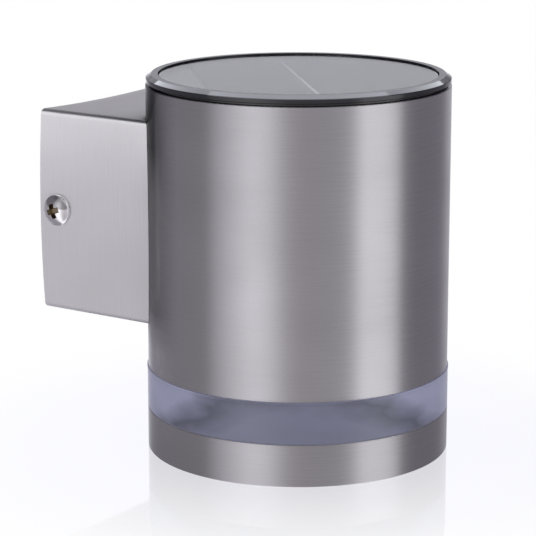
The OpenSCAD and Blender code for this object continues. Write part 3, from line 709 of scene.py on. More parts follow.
class ShapeTree(Wiring):
    """A Geometry Nodes tree with named inputs, ended by Realize Instances and Set Material."""

    def __init__(
        self, name: str, inputs: dict[str, Sequence[str]], recess: bool = False
    ) -> None:
        """Makes the tree and its inputs.

        Args:
            name: Name of the tree.
            inputs: The inputs' labels by the kind of socket.
            recess: Whether faces marked as a recess get a finish of their own.
        """
        super().__init__(bpy.data.node_groups.new(name, "GeometryNodeTree"))
        self.recess = recess
        face = self.tree.interface
        face.new_socket("Geometry", in_out="OUTPUT", socket_type="NodeSocketGeometry")
        finishes = ("Finish", "Recess Finish") if recess else ("Finish",)
        for kind, labels in {"Geometry": ("Geometry",), **inputs, "Material": finishes}.items():
            for label in labels:
                face.new_socket(label, in_out="INPUT", socket_type="NodeSocket" + kind)
        self.given = self.add("NodeGroupInput").outputs
        self.result = self.add("NodeGroupOutput")

    def close(self, geometry: Socket) -> "ShapeTree":
        """Ends the tree with what it has made and returns it."""
        real = self.get("GeometryNodeRealizeInstances", {"Geometry": geometry})
        values = {"Geometry": real, "Material": self.given["Finish"]}
        dressed = self.get("GeometryNodeSetMaterial", values)
        if self.recess:
            mark = self.add(
                "GeometryNodeInputNamedAttribute", {"Name": "recess"}, data_type="BOOLEAN"
            )
            dressed = self.get("GeometryNodeSetMaterial", {
                "Geometry": dressed, "Selection": mark.outputs["Attribute"],
                "Material": self.given["Recess Finish"],
            })
        self.feed(self.result.inputs[0], dressed)
        return self

    def run(self, name: str, source: Mesh, values: dict[str, object]) -> Object:
        """Runs the tree on a mesh and keeps the result as a plain mesh.

        Args:
            name: Name of the piece.
            source: Mesh that goes into the tree.
            values: The inputs' values by label.

        Returns:
            The piece, with no modifier left.
        """
        piece = add_object(name, source)
        modifier = piece.modifiers.new(self.tree.name, "NODES")
        modifier.node_group = self.tree
        for item in self.tree.interface.items_tree:
            if item.in_out == "INPUT" and item.name in values:
                modifier[item.identifier] = values[item.name]
        keep_result(piece, modifier)
        piece.data.name = name
        return piece


class TreeRack:
    """The Geometry Nodes trees that the pieces share."""

    RAIL = 10.0
    MERGE = 0.0005

    def __init__(self) -> None:
        """Makes the trees."""
        self.spin = self.spin_tree()
        self.sweep = self.sweep_tree()
        self.ring = self.ring_tree()
        self.row = self.row_tree()
        self.fingers = self.finger_tree()

    @staticmethod
    def along(t: ShapeTree, line: Socket, steps: str, radius: str, profile: bool) -> Socket:
        """Returns a circle with the tree's own steps and radius swept with a line.

        Args:
            t: The tree.
            line: The other curve.
            steps: Label of the input with the circle's steps.
            radius: Label of the input with the circle's radius.
            profile: Whether the circle is the profile, with its ends closed, or the way.

        Returns:
            The swept mesh.
        """
        values = {"Resolution": t.given[steps], "Radius": t.given[radius]}
        circle = t.get("GeometryNodeCurvePrimitiveCircle", values)
        way, section = (line, circle) if profile else (circle, line)
        values = {"Curve": way, "Profile Curve": section, "Fill Caps": profile}
        return t.get("GeometryNodeCurveToMesh", values)

    @classmethod
    def spin_tree(cls) -> ShapeTree:
        """Makes the tree that turns an outline about Z."""
        t = ShapeTree("spin_outline", {"Int": ("Segments",), "Float": ("Rail Radius",)})
        outline = t.get("GeometryNodeMeshToCurve", {"Mesh": t.given["Geometry"]})
        values = {
            "Geometry": cls.along(t, outline, "Segments", "Rail Radius", False),
            "Distance": cls.MERGE * MM,
        }
        return t.close(t.get("GeometryNodeMergeByDistance", values))

    @classmethod
    def sweep_tree(cls) -> ShapeTree:
        """Makes the tree that runs a round wire along paths."""
        t = ShapeTree("wire_along_path", {"Float": ("Wire Radius",), "Int": ("Sides",)})
        path = t.get("GeometryNodeMeshToCurve", {"Mesh": t.given["Geometry"]})
        return t.close(cls.along(t, path, "Sides", "Wire Radius", True))

    @staticmethod
    def seat(t: ShapeTree, points: Socket, aim: Socket) -> Socket:
        """Returns copies of the tree's piece at points, aimed along a vector and turned."""
        piece = t.add("GeometryNodeObjectInfo", {"Object": t.given["Piece"]})
        values = {"Axis": (0.0, 0.0, 1.0), "Angle": t.given["Turn"]}
        values = {
            "Rotation": t.get("FunctionNodeAlignRotationToVector", {"Vector": aim}, axis="Z"),
            "Rotate By": t.get("FunctionNodeAxisAngleToRotation", values),
        }
        return t.get("GeometryNodeInstanceOnPoints", {
            "Points": points, "Instance": piece.outputs["Geometry"],
            "Rotation": t.get("FunctionNodeRotateRotation", values, rotation_space="LOCAL"),
        })

    @classmethod
    def ring_tree(cls) -> ShapeTree:
        """Makes the tree that sets copies of a piece in a ring, aimed outwards or along Z."""
        t = ShapeTree("pieces_in_ring", {
            "Object": ("Piece",), "Int": ("Count",), "Vector": ("Centre",),
            "Float": ("Ring Radius", "First Angle", "Outward", "Upward", "Turn"),
        }, recess=True)
        points = t.get("GeometryNodeMeshLine", {"Count": t.given["Count"]})
        number = t.get("GeometryNodeInputIndex")
        part = t.math("DIVIDE", t.math("MULTIPLY", number, 2 * math.pi), t.given["Count"])
        angle = t.math("ADD", part, t.given["First Angle"])
        x, y = (
            t.math("MULTIPLY", t.math(wave, angle), t.given["Ring Radius"])
            for wave in ("COSINE", "SINE")
        )
        spot = t.vector("ADD", t.combine(X=x, Y=y), t.given["Centre"])
        points = t.get("GeometryNodeSetPosition", {"Geometry": points, "Position": spot})
        here = t.get("GeometryNodeInputPosition")
        unit = t.vector("NORMALIZE", t.vector("SUBTRACT", here, t.given["Centre"]))
        out = t.scaled(unit, t.given["Outward"])
        aim = t.vector("ADD", out, t.combine(Z=t.given["Upward"]))
        return t.close(cls.seat(t, points, aim))

    @classmethod
    def row_tree(cls) -> ShapeTree:
        """Makes the tree that sets copies of a piece in a row, all aimed one way."""
        t = ShapeTree("pieces_in_row", {
            "Object": ("Piece",), "Int": ("Count",), "Vector": ("Start", "Step", "Aim"),
            "Float": ("Turn",),
        }, recess=True)
        points = t.get("GeometryNodeMeshLine", {
            "Count": t.given["Count"], "Start Location": t.given["Start"],
            "Offset": t.given["Step"],
        })
        return t.close(cls.seat(t, points, t.given["Aim"]))

    @staticmethod
    def finger_tree() -> ShapeTree:
        """Makes the tree that lays the cell's collector fingers, cut to the cell's outline."""
        t = ShapeTree("cell_fingers", {"Int": ("Count",), "Float": (
            "Pitch", "Reach", "Flat", "Width", "Height", "Level", "Turn"
        )})
        pitch = t.given["Pitch"]
        first = t.math("MULTIPLY", t.math("SUBTRACT", t.given["Count"], 1.0), -0.5)
        line = t.get("GeometryNodeMeshLine", {
            "Count": t.given["Count"], "Offset": t.combine(X=pitch),
            "Start Location": t.combine(X=t.math("MULTIPLY", first, pitch)),
        })
        along = t.split(t.get("GeometryNodeInputPosition"))["X"]
        half = t.math("SQRT", t.math(
            "SUBTRACT", t.math("POWER", t.given["Reach"], 2.0), t.math("POWER", along, 2.0)
        ))
        far = t.math("MINIMUM", half, t.given["Flat"])
        middle = t.math("MULTIPLY", t.math("SUBTRACT", far, half), 0.5)
        values = {"Geometry": line, "Offset": t.combine(Y=middle)}
        points = t.get("GeometryNodeSetPosition", values)
        size = t.combine(X=t.given["Width"], Y=1.0, Z=t.given["Height"])
        laid = t.get("GeometryNodeInstanceOnPoints", {
            "Points": points, "Instance": t.get("GeometryNodeMeshCube", {"Size": size}),
            "Scale": t.combine(X=1.0, Y=t.math("ADD", half, far), Z=1.0),
        })
        return t.close(t.get("GeometryNodeTransform", {
            "Geometry": laid, "Translation": t.combine(Z=t.given["Level"]),
            "Rotation": t.combine(Z=t.given["Turn"]),
        }))


class Bench:
    """What every sub-assembly needs: the frame, the finishes and the shape trees."""

    def __init__(self, frame: dict) -> None:
        """Keeps the frame and makes the racks."""
        self.nodes = frame["nodes"]
        self.finishes = FinishRack()
        self.trees = TreeRack()

    def dress(self, slots: dict[str, str]) -> None:
        """Gives CAD nodes that stay as they are their finishes, by the name of the slot."""
        for node, slot in slots.items():
            self.nodes[node].material_slots[0].material = self.finishes.take(slot)
            LOG.info("%s: solid kept, finish %s", node, slot)

    def settle(self, piece: Object, body: str, slot: str, replaced: Sequence[str] = ()) -> None:
        """Makes a finished piece ride on its body.

        Args:
            piece: The finished piece.
            body: Name of the body that it moves with.
            slot: The record's material slot that its finish stands for.
            replaced: CAD nodes that it is shown for.
        """
        if not piece.data.materials:
            piece.data.materials.append(self.finishes.take(slot))
        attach(piece, body)
        if replaced:
            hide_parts(*replaced)
        LOG.info("%s: %d faces, rides on %s", piece.name, len(piece.data.polygons), body)

    def spun(
        self, name: str, outline: Sequence[Point2], slot: str, segments: int = 256,
        crease: float = 40.0, closed: bool = True,
    ) -> Object:
        """Turns an outline of radii and heights about Z.

        Args:
            name: Name of the piece.
            outline: Radius and height of each point in millimetres.
            slot: Material slot of its finish.
            segments: Steps round the axis.
            crease: Angle in degrees from which an edge stays sharp.
            closed: Whether the outline closes on itself.

        Returns:
            The piece.
        """
        rail = TreeRack.RAIL
        points = [(r - rail, -z, 0.0) for r, z in outline]
        count = len(points)
        edges = [(i, (i + 1) % count) for i in range(count if closed else count - 1)]
        piece = self.trees.spin.run(name, mesh_from(name, points, edges=edges), {
            "Segments": segments, "Rail Radius": rail * MM, "Finish": self.finishes.take(slot),
        })
        clean_mesh(piece.data, crease)
        return piece

    def swept(
        self, name: str, paths: Sequence[Sequence[Point3]], radius: float, sides: int, slot: str
    ) -> Object:
        """Runs a round wire along paths given in millimetres."""
        points: list[Point3] = []
        edges: list[tuple[int, int]] = []
        for path in paths:
            edges += [(len(points) + i, len(points) + i + 1) for i in range(len(path) - 1)]
            points += path
        piece = self.trees.sweep.run(name, mesh_from(name, points, edges=edges), {
            "Wire Radius": radius * MM, "Sides": sides, "Finish": self.finishes.take(slot),
        })
        clean_mesh(piece.data, 50.0)
        return piece

    def fasten(
        self, name: str, screw: "PanScrew", body: str, node: str, places: dict[str, object],
        slot: str = "screw_steel",
    ) -> None:
        """Sets copies of a screw in a ring or in a row.

        Args:
            name: Name of the piece.
            screw: The screw.
            body: Name of the body that the screws move with.
            node: CAD node that they are shown for.
            places: The tree's inputs by label, with a ring's radius for a ring.
            slot: Material slot of their finish.
        """
        tree = self.trees.ring if "Ring Radius" in places else self.trees.row
        pattern = screw.build(self, name + "_pattern")
        piece = tree.run(name, mesh_from(name + "_seats", []), places | {
            "Piece": pattern, "Finish": self.finishes.take(slot),
            "Recess Finish": self.finishes.take("screw_recess"),
        })
        bpy.data.objects.remove(pattern)
        self.settle(piece, body, slot, [node])


@dataclass
class PanScrew:
    """Pan-head screw with a cross recess and a wound thread, head up, seat at the origin."""

    thread_d: float
    length: float
    head_d: float
    head_h: float
    pitch: float
    threaded: float
    sides: int = 20
    edge_share: float = 0.3
    dome_steps: int = 14
    ridge_share: float = 0.18
    turn_steps: int = 6

    def build(self, bench: Bench, name: str) -> Object:
        """Makes the screw as a hidden pattern that the trees copy."""
        piece = bench.spun(name, self.head_outline(), "screw_steel", 72, 50.0, closed=False)
        self.cut_cross(piece)
        self.add_thread(piece.data)
        self.mark_recess(piece.data)
        return piece

    def dome(self, from_axis: float) -> float:
        """Returns the height of the head's round top at a distance from the axis."""
        r, h = self.head_d / 2, self.head_h
        rise = h - h * self.edge_share
        ball = (r * r + rise * rise) / (2 * rise)
        return h - ball + math.sqrt(ball * ball - from_axis * from_axis)

    def head_outline(self) -> list[Point2]:
        """Returns the head's outline from its top to its underside and back to the axis."""
        r, h, edge = self.head_d / 2, self.head_h, self.head_h * self.edge_share
        reaches = (r * i / self.dome_steps for i in range(self.dome_steps))
        return [
            *((x, self.dome(x)) for x in reaches),
            (r * 0.985, edge + 0.07 * h), (r, edge * 0.75), (r, edge * 0.25), (r * 0.985, 0.0),
            (self.thread_d * 0.3, 0.0), (0.0, 0.0),
        ]

    def cut_cross(self, piece: Object) -> None:
        """Cuts the cross recess: two tapered wings, one after the other."""
        top, half = self.head_h, self.head_d / 2
        wing = ((half * 0.56, half * 0.2, top + 0.3), (half * 0.3, half * 0.13, top * 0.4))
        faces = [(0, 1, 2, 3), (7, 6, 5, 4), *(
            (i, i + 4, (i + 1) % 4 + 4, (i + 1) % 4) for i in range(4)
        )]
        for angle in (0.0, math.radians(90.0)):
            points = [
                (*turned(sx * x, sy * y, angle), z)
                for x, y, z in wing for sx, sy in ((-1, -1), (1, -1), (1, 1), (-1, 1))
            ]
            cutter = add_object("cross_cutter", mesh_from("cross_cutter", points, faces))
            clean_mesh(cutter.data, 10.0)
            modifier = piece.modifiers.new("cut", "BOOLEAN")
            modifier.operation = "DIFFERENCE"
            modifier.solver = "EXACT"
            modifier.object = cutter
            keep_result(piece, modifier)
            bpy.data.objects.remove(cutter)

    def add_thread(self, mesh: Mesh) -> None:
        """Adds the shank: plain under the head, then a wound thread and a blunt end."""
        core = self.thread_d / 2 * (1.0 - self.ridge_share)
        ridge = self.thread_d / 2 * self.ridge_share
        plain = self.length - self.threaded
        rings = [(0.02, None), (-plain, None)] if plain > 0.1 else [(0.02, None)]
        steps = int(self.threaded / self.pitch * self.turn_steps)
        rings += [
            (-plain - self.threaded * (i + 1) / (steps + 2), i / steps) for i in range(steps + 1)
        ]
        sides = [(k / self.sides, 2 * math.pi * k / self.sides) for k in range(self.sides)]
        points = []
        for z, share in rings:
            for part, angle in sides:
                wave = 1.0
                if share is not None:
                    wave = abs(2 * ((z / self.pitch + part) % 1.0) - 1)
                    wave *= min(1.0, 8 * share, 8 * (1 - share))
                points.append((*turned(core + ridge * wave, 0.0, angle), z))
        points += [(*turned(core * 0.7, 0.0, angle), -self.length) for _, angle in sides]
        shank = mesh_from("shank", points, quads(len(rings) + 1, self.sides))
        clean_mesh(shank, 55.0)
        work = bmesh.new()
        work.from_mesh(mesh)
        work.from_mesh(shank)
        work.to_mesh(mesh)
        work.free()
        bpy.data.meshes.remove(shank)

    def mark_recess(self, mesh: Mesh) -> None:
        """Marks the faces of the cross for a finish of their own."""
        mark = mesh.attributes.new("recess", "BOOLEAN", "FACE")
        for i, face in enumerate(mesh.polygons):
            x, y, z = (c / MM for c in face.center)
            from_axis = math.hypot(x, y)
            if from_axis < self.head_d / 2 * 0.62 and z > self.head_h * 0.3:
                mark.data[i].value = z < self.dome(from_axis) - 0.06
        smooth(mesh, 38.0)


@dataclass
class LampBody:
    """The tube, the foot and the frosted band between them, with what they hold."""

    tube_r: float = 38.0
    tube_wall: float = 0.8
    tube_low: float = 21.1
    tube_high: float = 92.6
    band_r: float = 38.2
    band_low: float = 10.85
    lip_r: float = 38.3
    lip_h: float = 0.5
    collar_r: float = 36.9
    collar_low: float = 5.1
    collar_high: float = 29.0
    band_bore: float = 34.9
    chamber_r: float = 35.7
    chamber_low: float = 11.15
    chamber_high: float = 19.85
    groove_r: float = 35.505
    groove_low: float = 24.1
    groove_high: float = 26.0
    foot_wall: float = 1.0
    foot_high: float = 10.6
    ledge_low: float = 4.0
    ledge_high: float = 4.8
    ledge_depth: float = 1.75
    seal_w: float = 1.07
    seal_h: float = 0.25
    tie_ring_r: float = 31.9
    base_low: float = 2.0

    def build(self, bench: Bench) -> None:
        """Makes and dresses every piece of the body."""
        self.tube(bench)
        self.foot(bench)
        self.band(bench)
        self.foot_seal(bench)
        screw = PanScrew(3.0, 36.3, 5.6, 1.6, 0.5, 14.0, sides=16)
        bench.fasten("tie_screw_ring", screw, "lamp_body", "tie_screws", {
            "Count": 3, "Ring Radius": self.tie_ring_r * MM, "First Angle": math.radians(30.0),
            "Centre": (0.0, 0.0, self.base_low * MM), "Outward": 0.0, "Upward": -1.0,
            "Turn": math.radians(12.0),
        })
        bench.dress({
            "inner_liner": "dark_plastic",
            "base_plate": "black_plastic",
            "diffuser_upper_seal": "black_rubber",
            "reflector": "white_plastic",
            "cap_seal": "black_rubber",
        })

    def tube(self, bench: Bench) -> None:
        """Makes the brushed tube with its edges broken."""
        bore = self.tube_r - self.tube_wall
        outline = rounded_outline([
            (bore, self.tube_low), (bore, self.tube_high),
            (self.tube_r, self.tube_high, 0.22), (self.tube_r, self.tube_low, 0.18),
        ], 0.12)
        piece = bench.spun("tube_sleeve", outline, "brushed_tube", 320)
        bench.settle(piece, "lamp_body", "brushed_tube", ["body_tube"])

    def foot(self, bench: Bench) -> None:
        """Makes the bottom ring with the ledge inside it."""
        bore, high = self.band_r - self.foot_wall, self.foot_high
        inner = bore - self.ledge_depth
        outline = rounded_outline([
            (bore, 0.0), (bore, self.ledge_low), (inner, self.ledge_low),
            (inner, self.ledge_high), (bore, self.ledge_high), (bore, high),
            (self.band_r, high, 0.25), (self.band_r, 0.0, 0.25),
        ], 0.12)
        piece = bench.spun("foot_ring", outline, "brushed_ring", 320)
        bench.settle(piece, "lamp_body", "brushed_ring", ["bottom_ring"])

    def band(self, bench: Bench) -> None:
        """Makes the frosted band with its lip, collars and seal groove."""
        low, high, lip_low = self.band_low, self.tube_low, self.tube_low - self.lip_h
        outline = rounded_outline([
            (self.band_bore, self.collar_low), (self.band_bore, self.chamber_low),
            (self.chamber_r, self.chamber_low), (self.chamber_r, self.chamber_high),
            (self.band_bore, self.chamber_high), (self.band_bore, self.collar_high),
            (self.collar_r, self.collar_high), (self.collar_r, self.groove_high),
            (self.groove_r, self.groove_high), (self.groove_r, self.groove_low),
            (self.collar_r, self.groove_low), (self.collar_r, high), (self.lip_r, high, 0.16),
            (self.lip_r, lip_low, 0.06), (self.band_r, lip_low, 0.06),
            (self.band_r, low, 0.05), (self.collar_r, low), (self.collar_r, self.collar_low),
        ], 0.12)
        piece = bench.spun("light_band", outline, "frosted_plastic", 320)
        bench.settle(piece, "lamp_body", "frosted_plastic", ["diffuser"])

    def foot_seal(self, bench: Bench) -> None:
        """Makes the flat grey seal between the band and the foot ring."""
        low, high, edge = self.band_low - self.seal_h, self.band_low, self.band_r - 0.03
        bore = edge - self.seal_w
        outline = rounded_outline([(bore, low), (bore, high), (edge, high), (edge, low)], 0.04)
        piece = bench.spun("foot_seal", outline, "grey_rubber", 256)
        bench.settle(piece, "lamp_body", "black_rubber", ["diffuser_lower_seal"])


@dataclass
class WallArm:
    """The bent steel arm between the tube and the wall, with its screws."""

    width: float = 53.0
    height: float = 51.9
    middle: float = 58.15
    sheet: float = 1.0
    bend_r: float = 1.5
    bend_steps: int = 8
    side_swell: float = 0.95
    top_sag: float = 0.6
    saddle_r: float = 38.05
    rear: float = 61.1
    broken_edge: float = 0.06
    outer_rows: tuple[float, ...] = (0.0, 0.012, 0.2, 0.5, 0.8, 0.988, 1.0)
    inner_rows: tuple[float, ...] = (1.0, 0.98, 0.5, 0.02, 0.0)
    screw_y: float = 55.1
    screw_rise: float = 0.55
    side_x: float = 27.45
    inner_screw_y: float = 35.55
    inner_screw_z: float = 41.2
    inner_screw_step: float = 20.0

    def build(self, bench: Bench) -> None:
        """Makes and dresses every piece of the arm."""
        self.shell(bench)
        screw = PanScrew(4.0, 12.0, 8.0, 2.7, 0.7, 11.4)
        bench.fasten("side_screw_pair", screw, "lamp_body", "side_screws", {
            "Count": 2, "Ring Radius": self.side_x * MM, "First Angle": 0.0,
            "Centre": (0.0, self.screw_y * MM, (self.middle + self.screw_rise) * MM),
            "Outward": 1.0, "Upward": 0.0, "Turn": math.radians(18.0),
        }, "polished_screw")
        screw = PanScrew(4.0, 8.5, 8.0, 2.2, 0.7, 8.0)
        bench.fasten("arm_screw_row", screw, "lamp_body", "arm_screws", {
            "Count": 2, "Start": (0.0, self.inner_screw_y * MM, self.inner_screw_z * MM),
            "Step": (0.0, 0.0, self.inner_screw_step * MM), "Aim": (0.0, -1.0, 0.0), "Turn": 0.3,
        })
        bench.dress({"arm_nuts": "screw_steel", "side_nuts": "screw_steel"})

    def outline(self, inset: float) -> list[Point2]:
        """Returns the section's outline as X and height from the middle, set in by an inset."""
        w, h = self.width / 2 - inset, self.height / 2 - inset
        r = max(self.bend_r - inset, 0.05)
        points: list[Point2] = []
        corners = ((w - r, r - h, -90.0), (w - r, h - r, 0.0), (r - w, h - r, 90.0),
                   (r - w, r - h, 180.0))
        for i, (x, z, start) in enumerate(corners):
            for k in range(self.bend_steps + 1):
                dx, dz = turned(r, 0.0, math.radians(start + 90.0 * k / self.bend_steps))
                points.append((x + dx, z + dz))
            after = corners[(i + 1) % 4]
            dx, dz = turned(r, 0.0, math.radians(after[2]))
            end = (after[0] + dx, after[1] + dz)
            points += self.bowed(points[-1], end, self.side_swell if i % 2 == 0 else -self.top_sag)
        return points

    @staticmethod
    def bowed(start: Point2, end: Point2, bow: float, steps: int = 36) -> list[Point2]:
        """Returns the points between two places on a shallow bow to the right of the way."""
        p, q = Vector(start), Vector(end)
        run = q - p
        out = Vector((run.y, -run.x)).normalized()
        shares = (k / steps for k in range(1, steps))
        return [tuple(p + run * t + out * bow * 4 * t * (1 - t)) for t in shares]

    def front(self, x: float) -> float:
        """Returns how far behind the axis the arm starts at a place across it."""
        return math.sqrt(max(self.saddle_r ** 2 - x * x, 0.0))

    def shell(self, bench: Bench) -> None:
        """Makes the bent sheet, cut to the tube, and the curved saddle inside it."""
        rows: list[list[Point3]] = []
        for inset, shares in ((0.0, self.outer_rows), (self.sheet, self.inner_rows)):
            for share in shares:
                broken = inset == 0.0 and share in (0.0, 1.0)
                rows.append([
                    (x, self.front(x) + (self.rear - self.front(x)) * share, self.middle + z)
                    for x, z in self.outline(self.broken_edge if broken else inset)
                ])
        points = [p for row in rows for p in row]
        saddle, saddle_faces = self.saddle(len(points))
        faces = quads(len(rows), len(rows[0]), closed=True) + saddle_faces
        mesh = mesh_from("arm_shell", points + saddle, faces)
        clean_mesh(mesh, 32.0)
        bench.settle(add_object("arm_shell", mesh), "lamp_body", "brushed_arm", ["arm_housing"])

    def saddle(self, first: int, across: int = 28, up: int = 10) -> tuple[list[Point3], list[Face]]:
        """Returns the points and faces of the saddle that the arm screws pull on.

        Args:
            first: Number of the saddle's first point.
            across: Steps from side to side.
            up: Steps from its lower edge to its upper edge.

        Returns:
            Its points and its faces.
        """
        half_w, half_h = self.width / 2 - self.sheet, self.height / 2 - self.sheet
        points: list[Point3] = []
        for r in (self.saddle_r, self.saddle_r + self.sheet):
            for v in (2 * j / up - 1 for j in range(up + 1)):
                for u in (2 * i / across - 1 for i in range(across + 1)):
                    x = u * (half_w + self.side_swell * (1 - v * v))
                    z = v * (half_h - self.top_sag * (1 - u * u))
                    points.append((x, math.sqrt(r * r - x * x), self.middle + z))
        n, sheet = across + 1, (across + 1) * (up + 1)
        faces = []
        for a in (first + j * n + i for j in range(up) for i in range(across)):
            faces.append((a, a + 1, a + n + 1, a + n))
            faces.append((a + sheet, a + sheet + n, a + sheet + n + 1, a + sheet + 1))
        rim = [*range(n), *(j * n + across for j in range(1, up + 1)),
               *(up * n + i for i in range(across - 1, -1, -1)),
               *(j * n for j in range(up - 1, 0, -1))]
        for here, after in zip(rim, rim[1:] + rim[:1]):
            a, b = first + here, first + after
            faces.append((b, a, a + sheet, b + sheet))
        return points, faces


@dataclass
class SolarCap:
    """The black rim, the window and the cell under it."""

    window_r: float = 34.75
    window_low: float = 93.85
    window_high: float = 94.85
    cell_r: float = 33.95
    cell_flat: float = 24.5
    cell_top: float = 93.75
    strip_w: float = 1.15
    strip_turn: float = 43.5
    strip_shift: float = 0.35
    strip_reach: float = 1.72
    strip_steps: int = 96
    finger_pitch: float = 2.3
    finger_w: float = 0.16
    finger_h: float = 0.03
    finger_edge: float = 0.6

    def build(self, bench: Bench) -> None:
        """Makes and dresses every piece of the cap's top."""
        bench.dress({"cap_shell": "black_gloss", "solar_cell": "solar_cell"})
        self.window(bench)
        self.fingers(bench)
        self.strip(bench)

    def window(self, bench: Bench) -> None:
        """Makes the clear plate with a softened edge."""
        low = self.window_low + 0.03
        outline = rounded_outline([
            (0.0, low, 0.0), (0.0, self.window_high, 0.0),
            (self.window_r, self.window_high, 0.25), (self.window_r, low, 0.1),
        ], 0.1)
        outline = [p for p in outline if p[0] > 1e-6]
        ends = [(0.0, self.window_high), *outline, (0.0, low)]
        piece = bench.spun("window_plate", ends, "clear_window", 256, closed=False)
        bench.settle(piece, "solar_cap", "clear_window", ["solar_window"])

    def fingers(self, bench: Bench) -> None:
        """Lays the thin fingers across the cell."""
        piece = bench.trees.fingers.run("cell_fingers", mesh_from("finger_seats", []), {
            "Count": int(2 * (self.cell_r - 1.0) / self.finger_pitch),
            "Pitch": self.finger_pitch * MM, "Reach": (self.cell_r - self.finger_edge) * MM,
            "Flat": (self.cell_flat - self.finger_edge) * MM, "Width": self.finger_w * MM,
            "Height": self.finger_h * MM, "Level": (self.cell_top + 0.014) * MM,
            "Turn": math.radians(self.strip_turn), "Finish": bench.finishes.take("tinned_strip"),
        })
        bench.settle(piece, "solar_cap", "tinned_strip")

    def strip(self, bench: Bench) -> None:
        """Makes the bright collector strip: soldered in waves, narrower at its far end."""
        turn = math.radians(self.strip_turn)
        section = ((-0.5, 0.0), (-0.46, 0.055), (-0.2, 0.078), (0.2, 0.078), (0.46, 0.055),
                   (0.5, 0.0))
        points: list[Point3] = []
        for share in (i / self.strip_steps for i in range(self.strip_steps + 1)):
            x = -self.cell_r + self.strip_w / 2 + self.cell_r * self.strip_reach * share
            taper = 1.0 - 0.5 * share ** 1.5
            wide = self.strip_w * taper * (0.96 + 0.04 * math.sin(41.0 * share))
            for across, up in section:
                lift = up * (0.85 + 0.15 * math.sin(63.0 * share + 2.0))
                place = turned(x, self.strip_shift + across * wide, turn)
                points.append((*place, self.cell_top + 0.003 + lift))
        faces = quads(self.strip_steps + 1, len(section))
        mesh = mesh_from("collector_strip", points, faces)
        clean_mesh(mesh, 60.0)
        piece = add_object("collector_strip", mesh)
        bench.settle(piece, "solar_cap", "tinned_strip", ["cell_busbar"])


